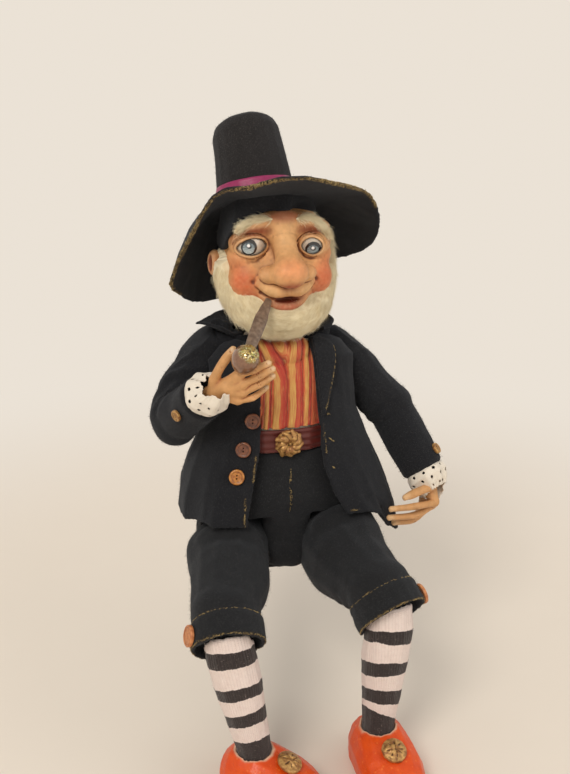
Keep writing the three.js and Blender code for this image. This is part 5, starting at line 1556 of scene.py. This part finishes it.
def brim_shadow_lining():
    """Felt lining that hugs the forehead and closes it off under the brim; its black also stands in for the
    brim's shadow, and for that it reaches low over the right temple.
    """
    tree = surface_of(brim)
    turns = np.linspace(0, 2 * math.pi, BAND_TURNS, endpoint=False)
    ways = [np.array((math.sin(turn), -math.cos(turn), 0)) for turn in turns]
    outer, inner = [], []
    before = np.zeros(BAND_TURNS)
    for share in np.linspace(0, 1, BAND_ROWS):
        found = [brim_shadow_lining_line(tree, way, turn, share) for way, turn in zip(ways, turns)]
        heights = [z for _, z in found]
        reach = np.maximum(np.array([away for away, _ in found]), before - 0.4)
        for _ in range(6):
            reach = np.maximum(reach, 0.5 * (np.roll(reach, 1) + np.roll(reach, -1)))
        before = reach
        for wall, side in ((outer, 1), (inner, -1)):
            wall.append([BAND_AXIS + (0, 0, z) + way * (r + side * BAND_HALF)
                         for r, way, z in zip(reach, ways, heights)])
    flange = []
    for r, way, z in zip(reach, ways, heights):
        place = BAND_AXIS + way * (r + FLANGE_REACH)
        flange.append((place[0], place[1], brim_over(tree, place, 180, 0.6, z + 0.5)))
    outer.append(flange)
    inner.append([np.array(place) + (0, 0, FLANGE_THICK) for place in flange])
    made = ring_shell("sweatband_felt", np.array(outer), np.array(inner), FELT)
    ungilded(made)
    dress(made, head_body, "felt")
    nap(made, head_body, 1500, 0.9, 45)


def hat_ribbon():
    """A narrow satin ribbon drawn tight round the foot of the crown."""
    side = unit(np.cross((0, 1, 0), CROWN_AIM))
    front = np.cross(side, CROWN_AIM)
    tree = surface_of(crown)
    rings = {0.55: [], -0.25: []}
    for up in np.linspace(*RIBBON_SPAN, 11):
        for rise, ring in rings.items():
            ring.append([])
            for turn in np.linspace(0, 2 * math.pi, 120, endpoint=False):
                way = math.cos(turn) * side + math.sin(turn) * front
                start = HAT_BASE + up * CROWN_AIM
                place, _, _, _ = tree.ray_cast(Vector(start + 50 * way) * MM, Vector(-way))
                tuck = 0.12 * math.sin(2.2 * up + 2 * math.sin(3 * turn))
                ring[-1].append(np.array(place) / MM + (rise + (tuck if rise > 0 else 0)) * way)
    walls = [np.array(ring) for ring in rings.values()]
    dress(ring_shell("hat_band_ribbon", *walls, RIBBON), head_body, "ribbon", "hat_band")


def gilt_edge():
    """The gilded stretch of the brim's edge, in order round the hat."""
    edge = snapped(surface_of(brim), rim_of("hat_brim"), 0)[0]
    away = edge - HAT_BASE
    turns = np.degrees(np.arctan2(away[:, 0], -away[:, 1]))
    gilt = (np.linalg.norm(away[:, :2], axis=1) > BRIM_EDGE) & (turns > HAT_GILT[0]) & (turns < HAT_GILT[1])
    return edge[gilt][np.argsort(turns[gilt])]


def shape_brim():
    """The brim's waves, and the gold thread along its edge."""
    points = points_of(brim)
    for centre, reach, height in BRIM_LIFTS:
        points[:, 2] += height * fade(np.linalg.norm(points[:, :2] - centre, axis=1), 4, reach)
    move_points(brim, points)
    rumple(brim, 12, 0.25, 41)
    edge = gilt_edge()
    gilded(brim, edge, 1.3)
    dress(brim, head_body, "felt", "hat_brim")
    nap(brim, head_body, 9000, 1.0, 43)
    dashes("brim_thread", brim, head_body, edge, 620, 0.7, 67)


def shape_crown():
    """The crown's top, rounded off lower at the doll's right than at its left."""
    points = points_of(crown)
    up = (points - HAT_BASE) @ CROWN_AIM
    lean = (points[:, 0] - HAT_BASE[0] + 0.07 * up) / 19
    drop = 4.5 * np.clip(-lean, 0, 1) ** 4 + 2.0 * np.clip(lean, 0, 1) ** 1.5
    points[:, 2] -= fade(-up, -46, -26) * drop
    move_points(crown, points)
    rumple(crown, 14, 0.4, 42)
    ungilded(crown)
    dress(crown, head_body, "felt", "hat_crown")
    nap(crown, head_body, 7000, 0.9, 44)


brim = skinned("hat_brim_felt", ["hat_brim"], 1.0, 10, FELT)
shape_brim()
crown = skinned("hat_crown_felt", ["hat_crown"], 1.0, 12, FELT_CROWN)
shape_crown()
hat_ribbon()
brim_shadow_lining()


# Shirt front, sash and lace

# Places of the pleats across the chest, the height where they start to spread, and the stuffing at the neck
PLEATS = (-12.0, -7.3, 1.8, 10.6, 15.5)
PLEAT_DEPTH, PLEAT_WIDTH = 1.2, 0.8
SPREAD_FROM = 126
SHIRT_TOP = [((x, -12.5 + 0.03 * x * x, 139), 8.0) for x in (-12, -6, 0, 6, 11)]


def sew_shirt():
    """The pleated brocade front."""
    shirt = skinned("shirt_brocade", ["shirt_front"], 0.6, 4, BROCADE, SHIRT_TOP)
    places = points_of(shirt)
    up = places[:, 2] - SPREAD_FROM
    across = places[:, 0] - 0.1 * up + 0.5 * random_heights(places, 12, 52)
    across += 0.45 * np.maximum(up, 0) * fade(places[:, 0], -4, 5)
    for pleat in PLEATS:
        swell(shirt, -PLEAT_DEPTH * np.exp(-((across - pleat) / PLEAT_WIDTH) ** 2))
    swell(shirt, 0.25 * random_heights(places, 5, 53))
    paint(shirt, "weave", np.stack([across, places[:, 2], 0 * across], 1))
    dress(shirt, torso, "brocade", "shirt_front")


def wind_sash():
    """The satin belt, in soft folds round the waist."""
    sash = skinned("sash_satin", ["belt"], 0.8, 4, SASH)
    places = points_of(sash)
    swell(sash, 0.35 * np.sin(places[:, 2] * 1.5 + 1.4 * random_heights(places, 14, 51)))
    dress(sash, torso, "sash", "belt")


sew_shirt()
wind_sash()

# The frills: where they start above the wrist, their length, how much longer they are under the hand
LACE_START, LACE_LENGTH, LACE_MORE = 5.0, 15.0, 8.0
LACE_PROFILE = [(0.0, 9.2), (0.22, 12.2), (0.45, 12.6), (0.75, 10.4), (1.0, 7.2)]
LACE_WAVES = 7
LACE_THICK = 0.45
LINING_RADIUS, LINING_THICK = 7.6, 1.2

# Rows of eyelets: place down the frill, number in the row, shift, radius
EYELETS = [(4.0, 11, 0.0, 0.95), (8.5, 11, 0.5, 1.0), (13.0, 13, 0.2, 0.8)]
LACE_UNDER = {"right": (0.45, -0.3, -0.85), "left": (0.2, 0.2, -1)}


def lace_cuff(side):
    """A full cotton frill, longer under the hand, with a scalloped hem and punched eyelets."""
    wrist, elbow = np.array(WRISTS[side]), np.array(ELBOWS[side])
    aim = unit(wrist - elbow)
    centre = wrist - LACE_START * aim
    under = unit(np.array(LACE_UNDER[side]) - aim * (np.array(LACE_UNDER[side]) @ aim))
    other = np.cross(aim, under)
    around, down = 400, 44
    turns = np.linspace(0, 2 * math.pi, around, endpoint=False)
    spokes = np.cos(turns)[:, None] * under + np.sin(turns)[:, None] * other
    longer = LACE_LENGTH + LACE_MORE * (0.5 + 0.5 * np.cos(turns)) ** 2
    hem = 0.55 * np.abs(np.sin(13 * turns))
    points = []
    for v in np.linspace(0, 1, down + 1):
        wave = np.sin(LACE_WAVES * turns + 1.2 * np.sin(2 * turns))
        radius = np.interp(v, *zip(*LACE_PROFILE)) + 1.1 * v * wave
        fall = longer * v + hem * v ** 4
        points.append(centre + radius[:, None] * spokes + fall[:, None] * aim)
    quads = []
    for i in range(down):
        for j in range(around):
            fall = (i + 0.5) / down * longer[j]
            hole = False
            for row, count, shift, size in EYELETS:
                nearest = ((j + 0.5) / around * count + shift) % 1 - 0.5
                wide = nearest / count * 2 * math.pi * 12
                hole |= wide ** 2 + (fall - row) ** 2 < size ** 2
            if not hole:
                here, there, k = i * around, (i + 1) * around, (j + 1) % around
                quads.append((here + j, here + k, there + k, there + j))
    lace = new_piece(side + "_lace", np.vstack(points), quads, LACE)
    swell(lace, 0.35 * random_heights(points_of(lace), 5, 54))
    thick = lace.modifiers.new("Thickness", "SOLIDIFY")
    thick.thickness = LACE_THICK * MM
    made = bpy.data.meshes.new_from_object(lace.evaluated_get(bpy.context.evaluated_depsgraph_get()))
    lace.modifiers.clear()
    lace.data = made
    paint(lace, "rest", points_of(lace))
    dress(lace, on(side + "_forearm"), "lace", side + "_lace_cuff")
    walls = []
    for inset in (0, LINING_THICK):
        tube = (LINING_RADIUS - inset) * spokes[::5]
        walls.append(np.array([centre + tube + fall * aim for fall in (-3, 1, 5, 9)]))
    lining = ring_shell(side + "_cuff_lining", *walls, FELT)
    ungilded(lining)
    dress(lining, on(side + "_forearm"), "felt")


for side in SIGN:
    lace_cuff(side)


# Stockings and shoes

# Each painted band's top and bottom at the viewer's left and right of the leg
BANDS = {
    "right": [((1.3, -6.9), (2.7, -5.3)), ((-18.7, -25.4), (-15.6, -22.4)), ((-33.6, -40), (-29.7, -37.2)),
              ((-48.5, -60), (-46.5, -60))],
    "left": [((2.4, -4.3), (-0.1, -7.5)), ((-15.7, -23.6), (-17.9, -24.4)), ((-31.3, -38.6), (-34.4, -43)),
             ((-41.8, -62), (-52.9, -62))],
}
BAND_SIDES = 11
BAND_TILT = 0.34
SHOE_MOUTH = 12


def knit_stocking(side):
    """A knit stocking with its painted bands."""
    stocking = skinned(side + "_stocking", [side + "_stocking_leg"], 0.8, 12, KNIT)
    points = points_of(stocking)
    knee, ankle = np.array(KNEES[side], float), np.array(ANKLES[side], float)
    down = np.clip((knee[2] - points[:, 2]) / (knee[2] - ankle[2]), 0, 1)
    middle = mix(knee[0], ankle[0], down)
    share = np.clip(0.5 + (points[:, 0] - middle) / (2 * BAND_SIDES), 0, 1)
    tilt = BAND_TILT * (points[:, 1] - mix(knee[1], ankle[1], down))
    height = points[:, 2] + tilt + 0.6 * random_heights(points, 6, 61)
    band = np.zeros(len(points))
    for (left_top, left_bottom), (right_top, right_bottom) in BANDS[side]:
        top, bottom = mix(left_top, right_top, share), mix(left_bottom, right_bottom, share)
        outside = np.abs(height - (top + bottom) / 2) - (top - bottom) / 2
        band = np.maximum(band, fade(outside, -1.0, 1.0))
    paint(stocking, "band", band)
    away = points - mix(knee, ankle, down[:, None])
    turn = np.arctan2(away[:, 1], away[:, 0])
    paint(stocking, "knit", np.stack([12 * turn, points[:, 2], 0 * turn], 1))
    swell(stocking, 0.35 * random_heights(points, 8, 62) + 0.12 * random_heights(points, 2.5, 63))
    dress(stocking, on(side + "_shin"), "knit", side + "_stocking_leg")
    nap_seed = 35 if side == "right" else 36
    nap(stocking, on(side + "_shin"), 1500, 0.8, nap_seed, 0.06, KNIT_FUZZ, "knit")


def sculpt_shoe(side):
    """A clay shoe with a rough edge at its opening."""
    shoe = skinned(side + "_shoe_clay", [side + "_shoe"], 0.8, 40, SHOE)
    points = points_of(shoe)
    opening = rim_of(side + "_shoe")
    opening = opening[opening[:, 2] > ANKLES[side][2] - SHOE_MOUTH]
    rim = fade(distances(points, opening), 0.6, 2.0)
    swell(shoe, 0.22 * random_heights(points, 6, 63) + (0.07 + 0.2 * rim) * random_heights(points, 1.6, 64))
    paint(shoe, "rim", rim)
    dress(shoe, on(side + "_shin"), "shoe_clay", side + "_shoe")


for side in SIGN:
    knit_stocking(side)
for side in SIGN:
    sculpt_shoe(side)


# Buttons, buckle and shoe ornaments, modelled flat and set in place

def seat_of(node, outward):
    """Centre and axes (across, up, out) of a flat round node."""
    points = points_of(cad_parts[node])
    centre = (points.min(0) + points.max(0)) / 2
    _, _, axes = np.linalg.svd(points - points.mean(0), full_matrices=False)
    out = axes[2] * (1 if axes[2] @ np.array(outward) > 0 else -1)
    across = unit(np.cross((0.1, 0.2, 1), out))
    return centre, np.array([across, np.cross(out, across), out])


def disc(radius, half, edge, centre=(0, 0, 0)):
    """A flat round cake with its edge rounded off."""
    centre = np.array(centre, float)

    def distance(x, y, z):
        x, y, z = x - centre[0], y - centre[1], z - centre[2]
        side = np.sqrt(x * x + y * y) - radius + edge
        face_gap = np.abs(z) - half + edge
        outside = np.sqrt(np.maximum(side, 0) ** 2 + np.maximum(face_gap, 0) ** 2)
        return outside + np.minimum(np.maximum(side, face_gap), 0) - edge

    return distance, centre - (radius, radius, half), centre + (radius, radius, half)


def set_clay(clay, name, node, outward, body, slot, finish, bumps=0.05):
    centre, axes = seat_of(node, outward)
    points, quads = clay.skin()
    made = new_piece(name, centre + points @ axes, quads, finish)
    relax(made, 2)
    places = points_of(made)
    swell(made, bumps * random_heights(places, 1.1, 71) + bumps * random_heights(places, 3, 72))
    paint(made, "rest", points_of(made))
    # Painted shade in the hollows of the clay.
    paint(made, "wash", np.clip(hollows(made, 5) / 0.1, 0, 1))
    dress(made, on(body), slot, node)


def button(name, node, body, radius, slot, finish, outward=(0, -1, 0.2)):
    """A clay button with a raised rim and two holes."""
    clay = Clay((-radius - 1, -radius - 1, -2.2), (radius + 1, radius + 1, 2.2), 0.22)
    clay.add(disc(radius, 1.1, 0.7), 0.1)
    clay.carve(disc(radius - 1.1, 0.55, 0.4, (0, 0, 1.25)), 0.3)
    for turn in (0.5 * math.pi, 1.5 * math.pi):
        spot = (0.2 * radius * math.cos(turn), 0.2 * radius * math.sin(turn))
        clay.carve(roll([(*spot, -0.2), (*spot, 2)], 0.42), 0.2)
    set_clay(clay, name, node, outward, body, slot, finish)


def buckle():
    """A knot of thick swirled petals round a pit."""
    radius, petals = 8.6, 9
    clay = Clay((-11, -11, -2.6), (11, 11, 3.6), 0.3)
    clay.add(disc(radius - 0.8, 1.2, 0.8, (0, 0, -0.4)), 0.2)
    petal = [(1.6, 0.0, 0.9), (3.4, 0.16, 1.6), (5.4, 0.42, 1.3), (radius - 1.1, 0.75, 0.2)]
    for i in range(petals):
        turn = 2 * math.pi * i / petals
        path = [(r * math.cos(turn + swirl), r * math.sin(turn + swirl), z) for r, swirl, z in petal]
        thick = 1.0 + 0.18 * math.sin(2.7 * i)
        clay.add(roll(route(path, 9), thick * np.interp(np.arange(9), [0, 4, 8], [0.8, 1.75, 1.2])), 0.15)
    clay.carve(lump((0.3, -0.2, 2.6), (1.7, 1.4, 2.0)), 0.4)
    clay.add(lump((0.6, 0.1, 0.9), (0.8, 0.7, 0.6)), 0.2)
    set_clay(clay, "belt_buckle_clay", "belt_buckle", (0, -1, 0.2), "torso", "gilt_clay", GILT, 0.12)


def ornament(side):
    """A lumpy round of clay folded crosswise."""
    radius = 7.0
    clay = Clay((-9, -9, -2.6), (9, 9, 3.6), 0.3)
    clay.add(disc(radius, 1.2, 0.9, (0, 0, -0.2)), 0.2)
    clay.add(lump((0, 0, 0.6), (radius * 0.85, radius * 0.8, 1.7)), 0.6)
    for turn, bow in ((50, 1.2), (-40, -0.9), (5, 0.8), (95, 1.0)):
        c, s = math.cos(math.radians(turn)), math.sin(math.radians(turn))

        def bowed(steps, shift, top):
            """A line across the round, beside its middle, at a height that falls to its ends."""
            return [(t * c - shift * s, t * s + shift * c, top - 0.03 * t * t) for t in steps]

        fold = route(bowed((-4.6, -1.5, 1.5, 4.6), bow, 1.6), 7)
        clay.add(roll(fold, [0.5, 0.9, 1.0, 0.9, 1.0, 0.8, 0.5]), 0.25)
        groove = route(bowed((-4.4, 0, 4.4), -0.5 * bow, 2.2), 7)
        clay.carve(roll(groove, 0.35), 0.3)
    set_clay(clay, side + "_ornament_clay", side + "_shoe_ornament", (0, -0.6, 0.8), side + "_shin",
             "gilt_clay", GILT, 0.16)


buckle()
for side, sign in SIGN.items():
    ornament(side)
    button(side + "_knee_button_clay", side + "_knee_button", side + "_shin", 5.8, "orange_clay", ORANGE,
           (sign, -0.3, 0.3))
    button(side + "_cuff_button_clay", side + "_cuff_button", side + "_forearm", 3.4, "gilt_clay", GILT)
for number, finish in ((1, BUTTON), (2, BUTTON), (3, AMBER)):
    button(f"jacket_button_clay_{number}", f"jacket_button_{number}", "torso", 4.4, "button_clay", finish)


# Pipe

BOWL_CENTRE = np.array((-30.6, -61, 153.4))
BOWL_AIM = unit((0.15, -0.55, 0.82))
BOWL_RADIUS = 7.3


def pipe():
    """The bowl, crusted with glitter toward the front, and its stem."""
    clay = Clay(BOWL_CENTRE - 13, BOWL_CENTRE + 13, 0.35)
    clay.add(lump(BOWL_CENTRE, (BOWL_RADIUS,) * 3), 0.3)
    clay.add(lump(BOWL_CENTRE - 3.5 * BOWL_AIM, (6.2,) * 3), 2)
    bowl = clay.piece("pipe_bowl_clay", BOWL, 2)
    places = points_of(bowl)
    ways = unit(places - BOWL_CENTRE)
    facing = ways @ unit((0.4, -0.55, 0.75)) + 0.2 * random_heights(places, 2.5, 75)
    crust = fade(-facing, -0.9, -0.45)
    swell(bowl, crust * (0.35 + 0.3 * random_heights(places, 0.9, 76)))
    paint(bowl, "glitter", crust)
    dress(bowl, on("right_forearm"), "pipe_clay", "pipe_bowl", "pipe_tobacco")
    stem = skinned("pipe_stem_clay", ["pipe_stem"], 0.4, 3, STEM)
    places = points_of(stem)
    swell(stem, 0.22 * random_heights(places, 4, 77) + 0.08 * random_heights(places, 1.5, 78))
    # Painted shade in the hollows of the stem.
    paint(stem, "wash", np.clip(hollows(stem, 5) / 0.12, 0, 1))
    dress(stem, on("right_forearm"), "stem_clay", "pipe_stem")


pipe()

for name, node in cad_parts.items():
    if name.endswith("_wire") or name == "body_stuffing":
        node.data.materials.clear()
        node.data.materials.append(WIRE if name.endswith("_wire") else CALICO)


# Floor, light and camera

PAPER = (0.83, 0.76, 0.67)
FLOOR_NEAR, FLOOR_FAR = 230, 620
FLOOR_HALF, FLOOR_TILES = 3000, 60
AMBIENT = 0.55


def seen_directly(tree):
    """1 for what the camera, a mirror or a clear thing looks at."""
    paths = tree.nodes.new("ShaderNodeLightPath")
    total = paths.outputs["Is Camera Ray"]
    for name in ("Is Glossy Ray", "Is Transmission Ray"):
        either = tree.nodes.new("ShaderNodeMath")
        either.operation = "ADD"
        either.use_clamp = True
        tree.links.new(total, either.inputs[0])
        tree.links.new(paths.outputs[name], either.inputs[1])
        total = either.outputs[0]
    return total


def backdrop():
    """A pale floor that runs into the background without a line."""
    height = cad_box[0][2] / MM
    paper = Finish("studio_paper", roughness=0.9, specular_ior_level=0.1)
    paper.set(base_color=paper.mix(paper.noise(40, 3), tuple(0.98 * c for c in PAPER), PAPER))
    tree = paper.tree
    away = paper.node("VectorMath", {0: paper.place((1, 1, 0))}, operation="LENGTH").outputs["Value"]
    far = paper.node("MapRange", {0: away, 1: FLOOR_NEAR, 2: FLOOR_FAR},
                     interpolation_type="SMOOTHSTEP").outputs[0]
    glow = paper.node("Emission", {"Color": PAPER})
    share = paper.sum("MULTIPLY", far, seen_directly(tree))
    blend = paper.node("MixShader", {0: share, 1: paper.shader.outputs[0], 2: glow.outputs[0]})
    tree.links.new(blend.outputs[0], tree.nodes["Material Output"].inputs["Surface"])
    row = FLOOR_TILES + 1
    spots = np.linspace(-FLOOR_HALF, FLOOR_HALF, row)
    points = [(x, y, height) for y in spots for x in spots]
    corners = [i * row + j for i in range(FLOOR_TILES) for j in range(FLOOR_TILES)]
    quads = [(corner, corner + 1, corner + row + 1, corner + row) for corner in corners]
    new_piece("studio_floor", points, quads, paper.material)


backdrop()

CAMERA_PLACE = (-0.1357, -0.5664, 0.3186)
CAMERA_TURN, CAMERA_RISE = math.radians(-14), math.radians(19.3)
FOCAL_PIXELS, PICTURE_HEIGHT = 1050, 774

camera = bpy.data.objects.new("camera", bpy.data.cameras.new("camera"))
bpy.context.scene.collection.objects.link(camera)
camera.location = CAMERA_PLACE
back = Vector((math.sin(CAMERA_TURN) * math.cos(CAMERA_RISE),
               -math.cos(CAMERA_TURN) * math.cos(CAMERA_RISE), math.sin(CAMERA_RISE)))
camera.rotation_euler = back.to_track_quat("Z", "Y").to_euler()
camera.data.sensor_width = 36
camera.data.lens = 36 * FOCAL_PIXELS / PICTURE_HEIGHT
bpy.context.scene.camera = camera


def lamp(name, place, aim, size, power, colour):
    light = bpy.data.lights.new(name, "AREA")
    light.shape = "DISK"
    light.size = size
    light.energy = power
    light.color = colour
    holder = bpy.data.objects.new(name, light)
    bpy.context.scene.collection.objects.link(holder)
    holder.location = place
    holder.rotation_euler = (Vector(place) - Vector(aim)).to_track_quat("Z", "Y").to_euler()


lamp("key", (-0.75, -1.0, 1.25), (0, 0, 0.08), 0.7, 13, (1.0, 0.93, 0.84))
lamp("fill", (1.1, -0.9, 0.6), (0, 0, 0.05), 1.2, 4, (1.0, 0.95, 0.9))
lamp("back", (0.3, 1.2, 1.1), (0, 0, 0.1), 0.8, 5, (1.0, 0.97, 0.94))

world = bpy.data.worlds.new("studio")
bpy.context.scene.world = world
world.use_nodes = True
tree = world.node_tree
ambient = tree.nodes["Background"]
ambient.inputs["Color"].default_value = (1.0, 0.95, 0.89, 1)
ambient.inputs["Strength"].default_value = AMBIENT
seen = tree.nodes.new("ShaderNodeBackground")
seen.inputs["Color"].default_value = (*PAPER, 1)
mixer = tree.nodes.new("ShaderNodeMixShader")
tree.links.new(seen_directly(tree), mixer.inputs[0])
tree.links.new(ambient.outputs[0], mixer.inputs[1])
tree.links.new(seen.outputs[0], mixer.inputs[2])
tree.links.new(mixer.outputs[0], tree.nodes["World Output"].inputs["Surface"])
bpy.context.scene.view_settings.view_transform = "Standard"
